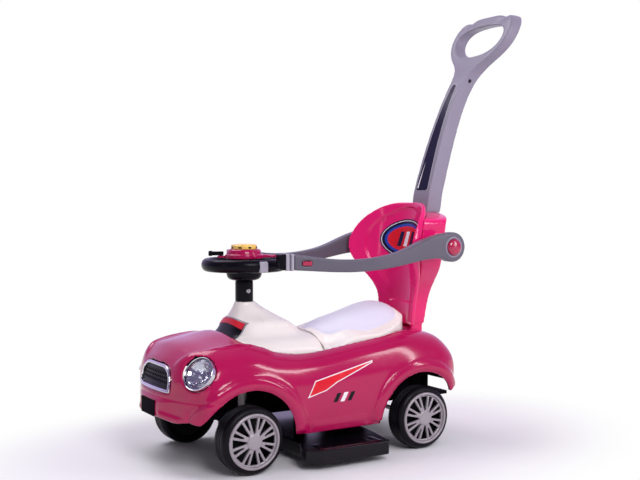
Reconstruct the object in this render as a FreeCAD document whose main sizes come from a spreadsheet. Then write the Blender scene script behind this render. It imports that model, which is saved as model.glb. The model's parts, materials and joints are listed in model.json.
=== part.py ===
"""Push car with a parent handle, as a parametric document with one solid per piece.

Frame: +X forward, +Y left, +Z up. The origin is on the ground, on the centre plane, midway
between the axles. Lengths are in millimetres and angles in degrees.
"""
import FreeCAD, Part
import math
import os
import re
import Sketcher
from FreeCAD import Placement, Rotation, Vector

SIZES = {
    # Fits and allowances
    "running_gap": 0.3,
    "shaft_fit": 0.05,
    "press_fit": 0.02,
    "overrun": 6,
    "wall": 3,
    # Wheels, from the inner face outwards
    "wheel_radius": 55,
    "wheel_width": 40,
    "wheelbase": 340,
    "wheel_inner_y": 106,
    "axle_radius": 4,
    "tyre_depth": 11,
    "tyre_shoulder": 5,
    "web_set": 12,
    "web_thickness": 6,
    "hub_radius": 13,
    "hub_start": 4,
    "hub_end": 30,
    "nut_radius": 8,
    "nut_length": 3.5,
    # Hubcaps
    "hubcap_depth": 10,
    "hubcap_ledge": 1.5,
    "hubcap_proud": 3,
    "hubcap_rim": 5.5,
    "hubcap_chamfer": 1.5,
    "cap_boss_radius": 12,
    "cap_boss_depth": 7,
    "spoke_set": 4.5,
    "spoke_thickness": 4,
    "spoke_pairs": 8,
    "wide_inner_angle": 6,
    "wide_outer_angle": 11,
    "slot_inner_angle": 3.5,
    "slot_outer_angle": 5,
    "slot_inner_radius": 20,
    # Chassis frame
    "deck_top": 86,
    "deck_thickness": 6,
    "frame_front": 242,
    "frame_rear": 264,
    "deck_split": 60,
    "front_deck_half": 70,
    "rear_deck_half": 90,
    "hanger_half": 14,
    "hanger_root": 6,
    "beam_half": 16,
    "beam_bottom": 72,
    "beam_end": 11,
    "kingpin_y": 84,
    "kingpin_radius": 5,
    "kingpin_boss_radius": 10,
    "kingpin_boss_height": 8,
    "kingpin_tail": 2,
    "leg_x": 40,
    "leg_y": 62,
    "leg_radius": 9,
    # Steering linkage
    "knuckle_half": 12,
    "knuckle_inner": 11,
    "knuckle_outer": 13,
    "steer_arm": 30,
    "arm_half": 6,
    "arm_depth": 7,
    "link_pin_radius": 3,
    "link_side_play": 0.9,
    "link_end_play": 4.2,
    "link_lift": 2,
    "link_thickness": 4,
    "link_half": 8,
    "link_end": 10,
    "tongue_half": 12,
    "crank_lift": 2,
    "crank_depth": 7,
    "crank_half": 7,
    # Footrest
    "footrest_bottom": 11,
    "footrest_top": 34,
    "footrest_half_width": 180,
    "footrest_half_length": 90,
    "footrest_wall": 4,
    "tread_count": 5,
    "tread_pitch": 22,
    "tread_width": 5,
    "tread_length": 22,
    "tread_depth": 0.9,
    "tread_y": 156,
    "pad_half_length": 58,
    "pad_half_width": 16,
    "pad_rise": 1.2,
    # Body shell
    "body_front": 291,
    "body_rear": 272,
    "body_half_width": 139,
    "hood_height": 217,
    "arch_gap": 29,
    "arch_drop": 3,
    "arch_root": 75,
    "flare_width": 20,
    "flare_root": 112,
    "flare_proud": 5,
    "flare_foot": 58,
    "post_radius": 7,
    "front_post_x": 228,
    "front_post_y": 45,
    "rear_post_x": 222,
    "rear_post_y": 76,
    "screw_radius": 2,
    "screw_head_radius": 5,
    "screw_head_height": 3.5,
    "screw_reach": 16,
    # Seat opening in the body, the bin under it and the seat lid
    "opening_front": 165,
    "opening_rear": 211,
    "opening_half_width": 100,
    "opening_gap": 1,
    "lid_front": 9,
    "cowl_rear": 10,
    "lid_rest": 178.3,
    "lid_rise": 73.7,
    "lid_shoulder_y": 60,
    "bin_front": 8,
    "bin_rear": 184,
    "bin_half_width": 78,
    "bin_wall": 2.5,
    "bin_rim": 2.8,
    # Cowl and dash panel
    "cowl_base": 172,
    "cowl_top": 265,
    "cowl_front_reach": 55,
    "cowl_rear_reach": 133,
    "cowl_half_width": 104,
    "tower_radius": 17.5,
    "tower_boss_radius": 11,
    "tower_boss_depth": 26,
    "bush_radius": 8,
    "cowl_post_radius": 6,
    "cowl_front_post_x": 146,
    "cowl_front_post_y": 52,
    "cowl_rear_post_x": 30,
    "cowl_rear_post_y": 80,
    "dash_half_width": 44,
    "dash_bottom": 208,
    "dash_top": 234,
    "dash_thickness": 2.5,
    # Steering column and wheel
    "column_x": 113,
    "shaft_radius": 5,
    "sleeve_radius": 14.5,
    "sleeve_top": 302,
    "bolt_radius": 2.5,
    "bolt_head_radius": 4.2,
    "bolt_head_height": 2,
    "bolt_height": 284,
    "bowl_radius": 31.5,
    "bowl_floor": 4,
    "bowl_wall": 3.5,
    "rim_outer": 74,
    "rim_half_width": 9,
    "rim_half_height": 11,
    "rim_height": 329,
    "spoke_half_width": 13,
    "spoke_half_height": 5,
    "trim_half_width": 7.5,
    "trim_proud": 1.5,
    "module_radius": 24,
    "module_height": 22,
    # Horn and lever
    "horn_base": 340,
    "horn_height": 16,
    "horn_radius": 33,
    "horn_slope": 5,
    "horn_button_radius": 21.5,
    "horn_button_gap": 0.4,
    "horn_button_proud": 10,
    "horn_travel": 3,
    "horn_stop_gap": 0.5,
    "horn_pocket": 7,
    "button_edge": 2.5,
    "lever_angle": -35,
    "lever_length": 15,
    "lever_radius": 3.6,
    "lever_height": 348,
    "lever_base_reach": 8,
    "lever_base_half": 5,
    "lever_pin_radius": 2,
    "lever_knob_radius": 4.6,
    "lever_knob_length": 6,
    # Nose
    "grille_bottom": 130,
    "grille_top": 173,
    "grille_half_width": 61,
    "grille_frame_width": 5,
    "grille_frame_proud": 2,
    "grille_set": 1.5,
    "grille_thickness": 2.5,
    "grille_reach": 75,
    "headlight_x": 249,
    "headlight_y": 108,
    "headlight_z": 165.5,
    "headlight_yaw": 24,
    "headlight_pitch": 29,
    "bezel_radius": 28.5,
    "bezel_width": 4.5,
    "bezel_depth": 14,
    "bezel_proud": 4,
    "reflector_depth": 12,
    "reflector_floor": 10,
    "reflector_wall": 1.2,
    "lens_dome": 3,
    "lens_thickness": 1.6,
    "plate_half_width": 27,
    "plate_bottom": 88,
    "plate_top": 114,
    "plate_thickness": 2,
    "plate_reach": 30,
    # Backrest
    "backrest_base": 206,
    "backrest_top": 438,
    "backrest_half_width": 105,
    "backrest_front": 218,
    "backrest_lean": 6,
    "backrest_curve": 118,
    "backrest_skin": 8,
    "backrest_depth": 42,
    "backrest_rear_lean": 7.8,
    "panel_depth": 3,
    "badge_height": 366,
    "badge_half_width": 64,
    "badge_half_height": 38,
    "badge_thickness": 1.2,
    "foot_front": 230,
    "foot_rear": 256,
    "foot_half_width": 25,
    "back_screw_y": 62,
    "back_screw_low": 330,
    "back_screw_high": 402,
    "back_screw_length": 14,
    # Guard arms
    "pivot_x": 238,
    "pivot_z": 356,
    "pivot_radius": 8,
    "pivot_boss_radius": 20,
    "pivot_boss_root": 84,
    "pivot_boss_face": 118,
    "pivot_pin_root": 104,
    "arm_disc_radius": 27,
    "arm_width": 22,
    "arm_tip_width": 18,
    "arm_end_x": 74,
    "arm_end_y": 98,
    "cap_radius": 15,
    "cap_height": 8,
    "cap_edge": 3,
    "latch_x": 52,
    "latch_half_length": 8,
    "latch_half_height": 3.5,
    "latch_depth": 6,
    "latch_proud": 2,
    "latch_travel": 2.5,
    "latch_gap": 0.3,
    # Push handle
    "handle_base_x": 264,
    "handle_base_z": 432,
    "handle_rise": 371,
    "handle_lean_back": 183,
    "handle_depth": 33,
    "handle_grip_depth": 25,
    "handle_grip_half_width": 86,
    "handle_seat_half_width": 29,
    "tang_set": 5.5,
    "tang_depth": 12,
    "tang_half_width": 21,
    "tang_length": 78,
    "tang_gap": 0.3,
    "inlay_thickness": 1.2,
    "inlay_half_width": 18,
    "lock_radius": 9,
    "lock_height": 375,
    "lock_proud": 3.5,
    "lock_length": 15,
    "lock_travel": 2,
    "lock_gap": 0.3,
    "grip_screw_radius": 3.4,
    "grip_screw_length": 4,
    "grip_screw_set": 1.5,
}

# Body sections from rear to front: place along the length, then half width, sill, shoulder
# and crown, as shares of the body's length, half width and hood height.
BODY_STATION_SHARES = (
    (0.000, 0.612, 0.479, 0.608, 0.645),
    (0.016, 0.791, 0.465, 0.691, 0.760),
    (0.039, 0.899, 0.452, 0.793, 0.860),
    (0.083, 0.964, 0.369, 0.876, 0.925),
    (0.146, 0.993, 0.240, 0.915, 0.949),
    (0.217, 1.000, 0.240, 0.925, 0.960),
    (0.284, 0.998, 0.240, 0.908, 0.945),
    (0.377, 0.995, 0.240, 0.880, 0.920),
    (0.483, 0.993, 0.240, 0.845, 0.885),
    (0.591, 0.993, 0.240, 0.825, 0.876),
    (0.694, 0.996, 0.240, 0.866, 0.945),
    (0.767, 1.000, 0.240, 0.903, 1.000),
    (0.821, 1.000, 0.276, 0.899, 0.982),
    (0.860, 0.996, 0.304, 0.889, 0.963),
    (0.902, 0.978, 0.336, 0.866, 0.945),
    (0.924, 0.935, 0.359, 0.853, 0.926),
    (0.941, 0.842, 0.378, 0.829, 0.894),
    (0.956, 0.727, 0.378, 0.793, 0.857),
    (0.970, 0.583, 0.378, 0.742, 0.802),
    (0.977, 0.504, 0.382, 0.668, 0.719),
    (0.988, 0.396, 0.396, 0.581, 0.613),
    (0.995, 0.317, 0.401, 0.544, 0.571),
    (1.000, 0.216, 0.406, 0.516, 0.539),
)

# Half of one body section: across, and up from the sill (0) by the shoulder (1) to the crown (2).
BODY_SECTION_SHARES = (
    (0.955, 0.0), (0.990, 0.30), (1.0, 0.55), (0.955, 0.82), (0.80, 1.0), (0.50, 1.62), (0.22, 1.93),
)

# Seat opening seen from above: along from rear to front, and across.
OPENING_PLAN_SHARES = (
    (0.021, 0.30), (0.069, 0.58), (0.149, 0.83), (0.242, 0.975), (0.348, 1.0), (0.508, 1.0),
    (0.721, 1.0), (0.880, 0.995), (0.960, 0.92), (0.995, 0.60),
)

# Seat lid sections from front to rear: along, then the crown, the saddle's side and the edge.
LID_STATION_SHARES = (
    (0.000, 0.50, 0.42, 0.12), (0.253, 0.595, 0.42, 0.25), (0.452, 0.81, 0.44, 0.31), (
        0.618, 0.96, 0.52, 0.35,
    ),
    (0.756, 1.00, 0.60, 0.40), (0.862, 0.92, 0.60, 0.40), (0.940, 0.76, 0.55, 0.36), (
        1.000, 0.50, 0.42, 0.30,
    ),
)

# How far up the saddle's curve its crown has risen halfway across.
LID_CROWN_SHARE = 0.72

# Cowl levels: height, then the reach to the rear and front of the column, the half width
# and how square the outline is (2 is an ellipse).
COWL_LEVEL_SHARES = (
    (0.000, 1.00, 1.00, 1.00, 5.0),
    (0.151, 1.00, 0.964, 0.971, 4.5),
    (0.269, 0.96, 0.89, 0.885, 4.0),
    (0.376, 0.85, 0.78, 0.712, 3.5),
    (0.441, 0.70, 0.69, 0.610, 3.2),
    (0.538, 0.632, 0.618, 0.548, 3.2),
    (0.645, 0.519, 0.550, 0.481, 3.0),
    (0.731, 0.421, 0.490, 0.346, 2.6),
    (0.839, 0.293, 0.418, 0.240, 2.2),
    (0.925, 0.203, 0.355, 0.188, 2.0),
)

# How much of the lens dome has risen over the reflector's floor.
LENS_SHOULDER_SHARE = 0.75

GRILLE_OUTLINE_SHARES = ((1.0, 0.0), (0.99, 0.30), (0.90, 0.68), (0.66, 0.94), (0.30, 1.0))
FRONT_BACKREST_SHARES = (
    (0.52, 0.0), (0.53, 0.10), (0.56, 0.22), (0.68, 0.33), (0.87, 0.45), (0.99, 0.59), (0.98, 0.74), (
        0.80, 0.90,
    ),
    (0.46, 0.982),
)
REAR_BACKREST_SHARES = (
    (0.25, 0.0), (0.27, 0.10), (0.32, 0.22), (0.52, 0.362), (0.82, 0.509), (0.90, 0.65), (0.914, 0.77),
    (0.90, 0.875), (0.59, 0.944),
)
CAVITY_SHARES = (
    (0.19, 0.06), (0.21, 0.10), (0.26, 0.22), (0.44, 0.372), (0.74, 0.519), (0.83, 0.65), (0.845, 0.77),
    (0.82, 0.85), (0.53, 0.905),
)
PANEL_SHARES = (
    (0.34, 0.18), (0.40, 0.33), (0.66, 0.46), (0.80, 0.60), (0.80, 0.73), (0.64, 0.85), (0.36, 0.915),
)

# Guard arm along its length from the pivot: place, height of the middle over the pivot and
# half height as shares of the disc radius, and the sideways step in as a share of the whole step.
GUARD_ARM_SHARES = (
    (0.0, 0.00, 0.98, 0.00), (0.105, 0.04, 0.78, 0.00), (0.218, -0.20, 0.63, 0.00), (
        0.346, -0.61, 0.48, 0.02,
    ),
    (0.506, -0.92, 0.41, 0.08), (0.667, -1.02, 0.40, 0.25), (0.827, -0.92, 0.43, 0.56), (
        0.939, -0.78, 0.48, 0.85,
    ),
    (1.000, -0.72, 0.50, 1.00), (1.074, -0.69, 0.47, 1.14),
)

# Push handle: height and lean of the front face, then the half width with height.
HANDLE_PATH_SHARES = (
    (0.0, 0.0), (0.21, 0.125), (0.431, 0.285), (0.60, 0.445), (0.678, 0.545), (0.755, 0.66), (0.854, 0.772),
    (1.02, 0.96),
)
HANDLE_WIDTH_SHARES = (
    (0.0, 0.285), (0.237, 0.275), (0.453, 0.227), (0.615, 0.215), (0.68, 0.26), (0.72, 0.37), (0.752, 0.53),
    (0.785, 0.72), (0.82, 0.865), (0.86, 0.96), (0.90, 0.99), (0.945, 0.965), (0.981, 0.87), (1.0, 0.75),
    (1.008, 0.58),
)
HANDLE_TOP_SHARE = 1.012
HANDLE_STEM_SHARES = ((0.03, 0.245), (0.237, 0.24), (0.453, 0.19), (0.600, 0.172))
GRIP_OPENING_SHARES = (
    (0.795, 0.29), (0.817, 0.58), (0.863, 0.767), (0.911, 0.767), (0.943, 0.58), (0.954, 0.29),
)
GRIP_OPENING_ENDS_SHARES = (0.790, 0.957)
INLAY_SHARES = ((0.075, 1.0), (0.30, 0.72), (0.55, 0.42), (0.635, 0.34))
GRIP_SCREW_SHARE = 0.652
MIDDLE_SHARE = 0.5

# Footrest, left half seen from above: along and across.
FOOTREST_SHARES = (
    (0.78, 0.667), (0.955, 0.833), (0.955, 0.917), (0.667, 1.0), (-0.756, 1.0), (-0.822, 0.961), (
        -1.0, 0.472,
    ),
)

SIDES = {"left": 1, "right": -1}

document = FreeCAD.newDocument("push_car")
sheet = document.addObject("Spreadsheet::Sheet", "Sizes")
nodes = []


def fill_sheet():
    """Write every driving dimension into the sheet, each under its own alias."""
    for row, (alias, number) in enumerate(SIZES.items(), start=1):
        sheet.set(f"A{row}", alias)
        sheet.set(f"B{row}", str(number))
        sheet.setAlias(f"B{row}", alias)
    document.recompute()


def formula(text):
    """Return a formula with the sheet's name put before each of its aliases."""
    return re.sub(r"[a-z_]+", lambda word: f"Sizes.{word[0]}" if word[0] in SIZES else word[0], text)


def bind(item, setting, text):
    """Bind one setting of a document object to a formula of sheet values."""
    item.setExpression(setting, formula(text))


def value(text):
    """Return a formula's number."""
    number = sheet.evalExpression(text)
    return float(getattr(number, "Value", number))


def place(item, at, turn=Rotation()):
    """Turn an object and bind its position to three formulas."""
    item.Placement = Placement(Vector(), turn)
    for axis, text in zip("xyz", at):
        bind(item, f"Placement.Base.{axis}", text)
    return item


def box(name, low, high):
    """Return a box between two corners given as formulas."""
    item = document.addObject("Part::Box", name)
    for setting, near, far in zip(("Length", "Width", "Height"), low, high):
        bind(item, setting, f"({far}) - ({near})")
    return place(item, low)


def cylinder(name, at, radius, height, turn=Rotation()):
    """Return a cylinder from its foot, along its turned Z axis."""
    item = document.addObject("Part::Cylinder", name)
    bind(item, "Radius", radius)
    bind(item, "Height", height)
    return place(item, at, turn)


def fuse(name, *items):
    """Return the union of several objects."""
    item = document.addObject("Part::MultiFuse", name)
    item.Shapes = list(items)
    return item


def cut(name, base, *tools):
    """Return an object less all the tools."""
    item = document.addObject("Part::Cut", name)
    item.Base = base
    item.Tool = tools[0] if len(tools) == 1 else fuse(f"{name}_tools", *tools)
    return item


def group(name, *items):
    """Return separate solids that share one node."""
    item = document.addObject("Part::Compound", name)
    item.Links = list(items)
    return item


def feature(name, shape):
    """Return a document object that holds a shape made in code."""
    item = document.addObject("Part::Feature", name)
    item.Shape = shape
    return item


def node(label, item):
    """Name a finished piece and list it for writing."""
    item.Label = label
    nodes.append(item)
    return item


def origin_feature(body, role):
    """Return one of a body's own origin planes or axes."""
    return next(item for item in body.Origin.OriginFeatures if item.Role == role)


def outline(body, name, plane, corners):
    """Return a closed straight-sided sketch whose corners are bound to formulas."""
    sketch = body.newObject("Sketcher::SketchObject", f"{body.Name}_{name}")
    sketch.AttachmentSupport = [(origin_feature(body, plane), "")]
    sketch.MapMode = "FlatFace"
    points = [Vector(value(across), value(along), 0) for across, along in corners]
    for index, point in enumerate(points):
        sketch.addGeometry(Part.LineSegment(point, points[(index + 1) % len(points)]), False)
    for index in range(len(points)):
        sketch.addConstraint(Sketcher.Constraint("Coincident", index, 2, (index + 1) % len(points), 1))
    for index, corner in enumerate(corners):
        for kind, axis, text in zip(("DistanceX", "DistanceY"), (-2, -1), corner):
            if text == "0":
                sketch.addConstraint(Sketcher.Constraint("PointOnObject", index, 1, axis))
                continue
            place_of = sketch.addConstraint(Sketcher.Constraint(kind, -1, 1, index, 1, value(text)))
            bind(sketch, f"Constraints[{place_of}]", text)
    return sketch


def revolved(name, corners):
    """Return a body turned about its own Z axis from (radius, height) corners."""
    body = document.addObject("PartDesign::Body", name)
    profile = outline(body, "profile", "XZ_Plane", corners)
    turn = body.newObject("PartDesign::Revolution", f"{name}_turn")
    turn.Profile = profile
    turn.ReferenceAxis = (profile, ["V_Axis"])
    turn.Angle = 360
    return body


def closed_curve(points):
    """Return a smooth closed wire through points."""
    curve = Part.BSplineCurve()
    curve.interpolate(Points=points, PeriodicFlag=True)
    return Part.Wire([curve.toShape()])


def open_curve(points):
    """Return a smooth edge through points."""
    curve = Part.BSplineCurve()
    curve.interpolate(points)
    return curve.toShape()


def capped_curve(points):
    """Return a smooth curve through points, closed by one straight line."""
    return Part.Wire([open_curve(points), Part.LineSegment(points[-1], points[0]).toShape()])


def mirrored(half, sign=-1):
    """Return half an outline followed by its mirror image across Y."""
    return list(half) + [Vector(p.x, sign * p.y, p.z) for p in reversed(half) if p.y]


def prism(wire, reach):
    """Return the solid that a flat wire sweeps along a vector."""
    return Part.Face(wire).extrude(reach)


def half_space(low, high):
    """Return a plain block between two corners."""
    return Part.makeBox(high.x - low.x, high.y - low.y, high.z - low.z, low)


def rod(start, end, radius):
    """Return a round bar from one point to another."""
    return Part.makeCylinder(radius, (end - start).Length, start, end - start)


def body_solid(grow, drop):
    """Return the full body form, grown by an offset and with its underside lowered."""
    wires = []
    for length_share, width_share, sill_share, shoulder_share, crown_share in BODY_STATION_SHARES:
        x = -sheet.body_rear - grow + length_share * (sheet.body_rear + sheet.body_front + 2 * grow)
        half = sheet.body_half_width * width_share + grow
        sill = sheet.hood_height * sill_share - drop
        shoulder = sheet.hood_height * shoulder_share + grow
        crown = sheet.hood_height * crown_share + grow
        side = []
        for across_share, up_share in BODY_SECTION_SHARES:
            low, high = (sill, shoulder) if up_share <= 1 else (shoulder, crown)
            side.append(
                Vector(
                    x, across_share * half,
                    low + (up_share if up_share <= 1 else up_share - 1) * (high - low),
                ),
            )
        wires.append(capped_curve(mirrored(side + [Vector(x, 0, crown)])))
    return Part.makeLoft(wires, True, False)


def opening_wire(gap):
    """Return the seat opening's outline on the ground plane, drawn in by a gap."""
    rear = -sheet.opening_rear + gap
    length = sheet.opening_front - gap - rear
    half = sheet.opening_half_width - gap
    left = [
        Vector(rear + along_share * length, across_share * half, 0)
        for along_share, across_share in OPENING_PLAN_SHARES
    ]
    right = [Vector(p.x, -p.y, 0) for p in reversed(left)]
    return closed_curve([Vector(rear, 0, 0)] + left + [Vector(rear + length, 0, 0)] + right)


def opening_prism(gap):
    """Return the upright space of the seat opening."""
    wire = opening_wire(gap)
    wire.translate(Vector(0, 0, sheet.footrest_top))
    return prism(wire, Vector(0, 0, sheet.backrest_top))


def cross_prism(shares, half_width, low, high, front, rear, inset):
    """Return a block along X whose outline across the car follows shares of a width and height."""
    half = [
        Vector(
            front, across_share * (half_width - inset), low + inset + up_share * (high - low - 2 * inset),
        )
        for across_share, up_share in shares
    ]
    top = Vector(front, 0, high - inset)
    return prism(capped_curve(mirrored(half + [top])), Vector(rear - front, 0, 0))


def cowl_solid(grow):
    """Return the cowl's full form, grown by an offset and lowered by it at the top."""
    rise = sheet.cowl_top - sheet.cowl_base
    tower_shares = [
        sheet.tower_radius / reach for reach in (
            sheet.cowl_rear_reach, sheet.cowl_front_reach, sheet.cowl_half_width,
        )
    ]
    wires = []
    for height_share, rear_share, front_share, width_share, squareness in (
        *COWL_LEVEL_SHARES, (1.0, *tower_shares, 2.0),
    ):
        rear = sheet.column_x - rear_share * sheet.cowl_rear_reach - grow
        front = sheet.column_x + front_share * sheet.cowl_front_reach + grow
        half = width_share * sheet.cowl_half_width + grow
        z = sheet.cowl_base + height_share * rise + (grow if grow < 0 else 0)
        wires.append(
            closed_curve(super_ellipse((rear + front) / 2, (front - rear) / 2, half, z, squareness)),
        )
    return Part.makeLoft(wires, True, False)


def super_ellipse(middle, half_length, half_width, z, squareness):
    """Return points round a level outline between an ellipse and a box."""
    points = []
    steps = 24
    for step in range(steps):
        angle = 2 * math.pi * step / steps
        along = math.copysign(abs(math.cos(angle)) ** (2 / squareness), math.cos(angle))
        across = math.copysign(abs(math.sin(angle)) ** (2 / squareness), math.sin(angle))
        points.append(Vector(middle + half_length * along, half_width * across, z))
    return points


def lid_solid(inset):
    """Return the seat lid's form before its outline is cut, drawn in by an inset."""
    wires = []
    length = sheet.lid_front + sheet.opening_rear
    for along_share, crown_share, saddle_share, edge_share in LID_STATION_SHARES:
        x = sheet.lid_front - along_share * length
        half = sheet.opening_half_width + sheet.overrun
        rest = sheet.lid_rest - (sheet.overrun if inset else 0)
        edge, saddle, crown = (
            sheet.lid_rest + share * sheet.lid_rise - inset for share in (
                edge_share, saddle_share, crown_share,
            )
        )
        shoulder = sheet.lid_shoulder_y
        half_saddle = shoulder / 2
        side = [
            Vector(x, half, rest),
            Vector(x, half, edge - inset),
            Vector(x, (half + shoulder) / 2, (edge + saddle) / 2),
            Vector(x, shoulder, saddle),
            Vector(x, half_saddle, saddle + (crown - saddle) * LID_CROWN_SHARE),
            Vector(x, 0, crown),
        ]
        line = Part.LineSegment(side[0], side[1]).toShape()
        arch = open_curve(mirrored(side[1:]))
        far = [Vector(x, -half, edge - inset), Vector(x, -half, rest)]
        wires.append(Part.Wire([
            line, arch, Part.LineSegment(far[0], far[1]).toShape(), Part.LineSegment(
                far[1], side[0],
            ).toShape(),
        ]))
    return Part.makeLoft(wires, True, False)


def make_tyre(corner, along, side):
    """Make one hollow wheel with its tread ring, web and hub."""
    rim = "wheel_radius - tyre_depth"
    seat = "wheel_width - hubcap_depth"
    bore = "axle_radius + shaft_fit"
    body = revolved(f"tyre_{corner}", (
        (bore, "hub_start"), ("hub_radius", "hub_start"), ("hub_radius", "web_set"), (rim, "web_set"), (
            rim, "0",
        ),
        ("wheel_radius - tyre_shoulder", "0"), ("wheel_radius", "tyre_shoulder"),
        ("wheel_radius", "wheel_width - tyre_shoulder"), ("wheel_radius - tyre_shoulder", "wheel_width"),
        (f"{rim} + hubcap_ledge", "wheel_width"), (f"{rim} + hubcap_ledge", seat), (rim, seat),
        (rim, "web_set + web_thickness"), ("hub_radius", "web_set + web_thickness"), (
            "hub_radius", "hub_end",
        ),
        (bore, "hub_end"),
    ))
    node(f"tyre_{corner}", wheel_place(body, along, side))


def wheel_place(item, along, side):
    """Stand a piece on a wheel's axis, its Z axis pointing out of the car."""
    turn = Rotation(Vector(1, 0, 0), -90 * side)
    return place(item, (f"{along} * wheelbase / 2", f"{side} * wheel_inner_y", "wheel_radius"), turn)


def make_hubcap(corner, along, side):
    """Make one spoked hubcap that sits in the wheel's outer ledge."""
    edge = "wheel_radius - tyre_depth + hubcap_ledge - press_fit"
    inner = f"{edge} - hubcap_rim"
    seat = "wheel_width - hubcap_depth"
    face = "wheel_width + hubcap_proud"
    body = revolved(f"hubcap_{corner}", (
        ("0", f"{face} - cap_boss_depth"), ("cap_boss_radius", f"{face} - cap_boss_depth"),
        (inner, f"{seat} + spoke_set"), (inner, seat), (edge, seat), (edge, f"{face} - hubcap_chamfer"),
        (f"{edge} - hubcap_chamfer", face), (f"{inner} + hubcap_chamfer", face),
        (inner, f"{seat} + spoke_set + spoke_thickness"),
        ("cap_boss_radius + hubcap_chamfer", f"{face} - hubcap_chamfer"), ("cap_boss_radius", face), (
            "0", face,
        ),
    ))
    document.recompute()
    openings = []
    for name, middle, near, near_angle, far_angle in (
        ("wide", "0", "cap_boss_radius + hubcap_chamfer", "wide_inner_angle", "wide_outer_angle"),
        ("slot", "180 / spoke_pairs", "slot_inner_radius", "slot_inner_angle", "slot_outer_angle"),
    ):
        far = f"({inner} - hubcap_chamfer)"
        corners = []
        for radius, swing in (
            (f"({near})", f"-{near_angle}"), (far, f"-{far_angle}"), (far, far_angle),
            (f"({near})", near_angle),
        ):
            angle = f"{middle} + {swing}" if swing[0] != "-" else f"{middle} {swing}"
            corners.append((f"{radius} * cos({angle})", f"{radius} * sin({angle})"))
        pocket = body.newObject("PartDesign::Pocket", f"{body.Name}_{name}")
        pocket.Profile = outline(body, f"{name}_outline", "XY_Plane", corners)
        pocket.Type = "ThroughAll"
        pocket.Reversed = True
        openings.append(pocket)
    pattern = body.newObject("PartDesign::PolarPattern", f"{body.Name}_spokes")
    pattern.Originals = openings
    pattern.Axis = (origin_feature(body, "Z_Axis"), [""])
    pattern.Angle = 360
    bind(pattern, "Occurrences", "spoke_pairs")
    body.Tip = pattern
    node(f"hubcap_{corner}", wheel_place(body, along, side))


def make_axle_nut(name, along, side):
    """Return one push nut on an axle end, under the hubcap."""
    item = cylinder(name, ("0", "0", "0"), "nut_radius", "nut_length")
    bore = cylinder(f"{name}_bore", ("0", "0", "0"), "axle_radius + press_fit", "nut_length")
    nut = cut(f"{name}_ring", item, bore)
    turn = Rotation(Vector(1, 0, 0), -90 * side)
    out = f"{side} * (wheel_inner_y + hub_end + running_gap)"
    return place(nut, (f"{along} * wheelbase / 2", out, "wheel_radius"), turn)


def make_rear_axle():
    """Make the rear axle rod and its two push nuts."""
    reach = "(wheel_inner_y + hub_end + running_gap + nut_length)"
    turn = Rotation(Vector(1, 0, 0), -90)
    start = ("-wheelbase / 2", f"-{reach}", "wheel_radius")
    node("rear_axle", cylinder("rear_axle", start, "axle_radius", f"2 * {reach}", turn))
    nuts = [make_axle_nut(f"rear_nut_{name}", -1, side) for name, side in SIDES.items()]
    node("rear_axle_nuts", group("rear_axle_nuts", *nuts))


def make_chassis_frame():
    """Make the black frame that carries the axles, the steering shaft, the bin and the footrest."""
    deck_bottom = "deck_top - deck_thickness"
    axle = "wheelbase / 2"
    solids = [
        box(
            "rear_deck", ("-frame_rear", "-rear_deck_half", deck_bottom),
            ("deck_split", "rear_deck_half", "deck_top"),
        ),
        box(
            "front_deck", ("0", "-front_deck_half", deck_bottom),
            ("frame_front", "front_deck_half", "deck_top"),
        ),
        box(
            "front_beam",
            (f"{axle} - beam_half", "-kingpin_y - beam_end", "beam_bottom"),
            (f"{axle} + beam_half", "kingpin_y + beam_end", "deck_top"),
        ),
    ]
    bores = [
        cylinder(
            "column_bore", ("column_x", "0", deck_bottom), "shaft_radius + shaft_fit", "deck_thickness",
        ),
        cylinder(
            "rear_axle_bore", (
                f"-{axle}", "-wheel_inner_y - hub_end", "wheel_radius",
            ), "axle_radius + press_fit",
            "2 * (wheel_inner_y + hub_end)", Rotation(Vector(1, 0, 0), -90),
        ),
    ]
    for name, side in SIDES.items():
        near = "rear_deck_half - hanger_root"
        far = "wheel_inner_y + hub_start - running_gap"
        ends = (near, far) if side > 0 else (f"-({far})", f"-({near})")
        solids.append(box(
            f"hanger_{name}", (f"-{axle} - hanger_half", ends[0], "wheel_radius - hanger_half"),
            (f"-{axle} + hanger_half", ends[1], "deck_top"),
        ))
        pin = (axle, f"{side} * kingpin_y")
        solids.append(
            cylinder(
                f"kingpin_boss_{name}", (*pin, deck_bottom), "kingpin_boss_radius",
                "deck_thickness + kingpin_boss_height",
            ),
        )
        bores.append(cylinder(
            f"kingpin_bore_{name}", (*pin, "beam_bottom - overrun"), "kingpin_radius + shaft_fit",
            "deck_top + kingpin_boss_height - beam_bottom + 2 * overrun",
        ))
        for end, along in (("front", 1), ("rear", -1)):
            foot = (f"{along} * leg_x", f"{side} * leg_y", "footrest_top")
            solids.append(
                cylinder(
                    f"leg_{end}_{name}", foot, "leg_radius", "deck_top - deck_thickness / 2 - footrest_top",
                ),
            )
            post = (f"{end}_post_x", f"{side} * {end}_post_y", deck_bottom)
            x = post[0] if along > 0 else f"-{post[0]}"
            bores.append(
                cylinder(
                    f"screw_bore_{end}_{name}", (x, post[1], post[2]), "screw_radius + press_fit",
                    "deck_thickness",
                ),
            )
    node("chassis_frame", cut("chassis_frame", fuse("frame_solids", *solids), *bores))


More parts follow.
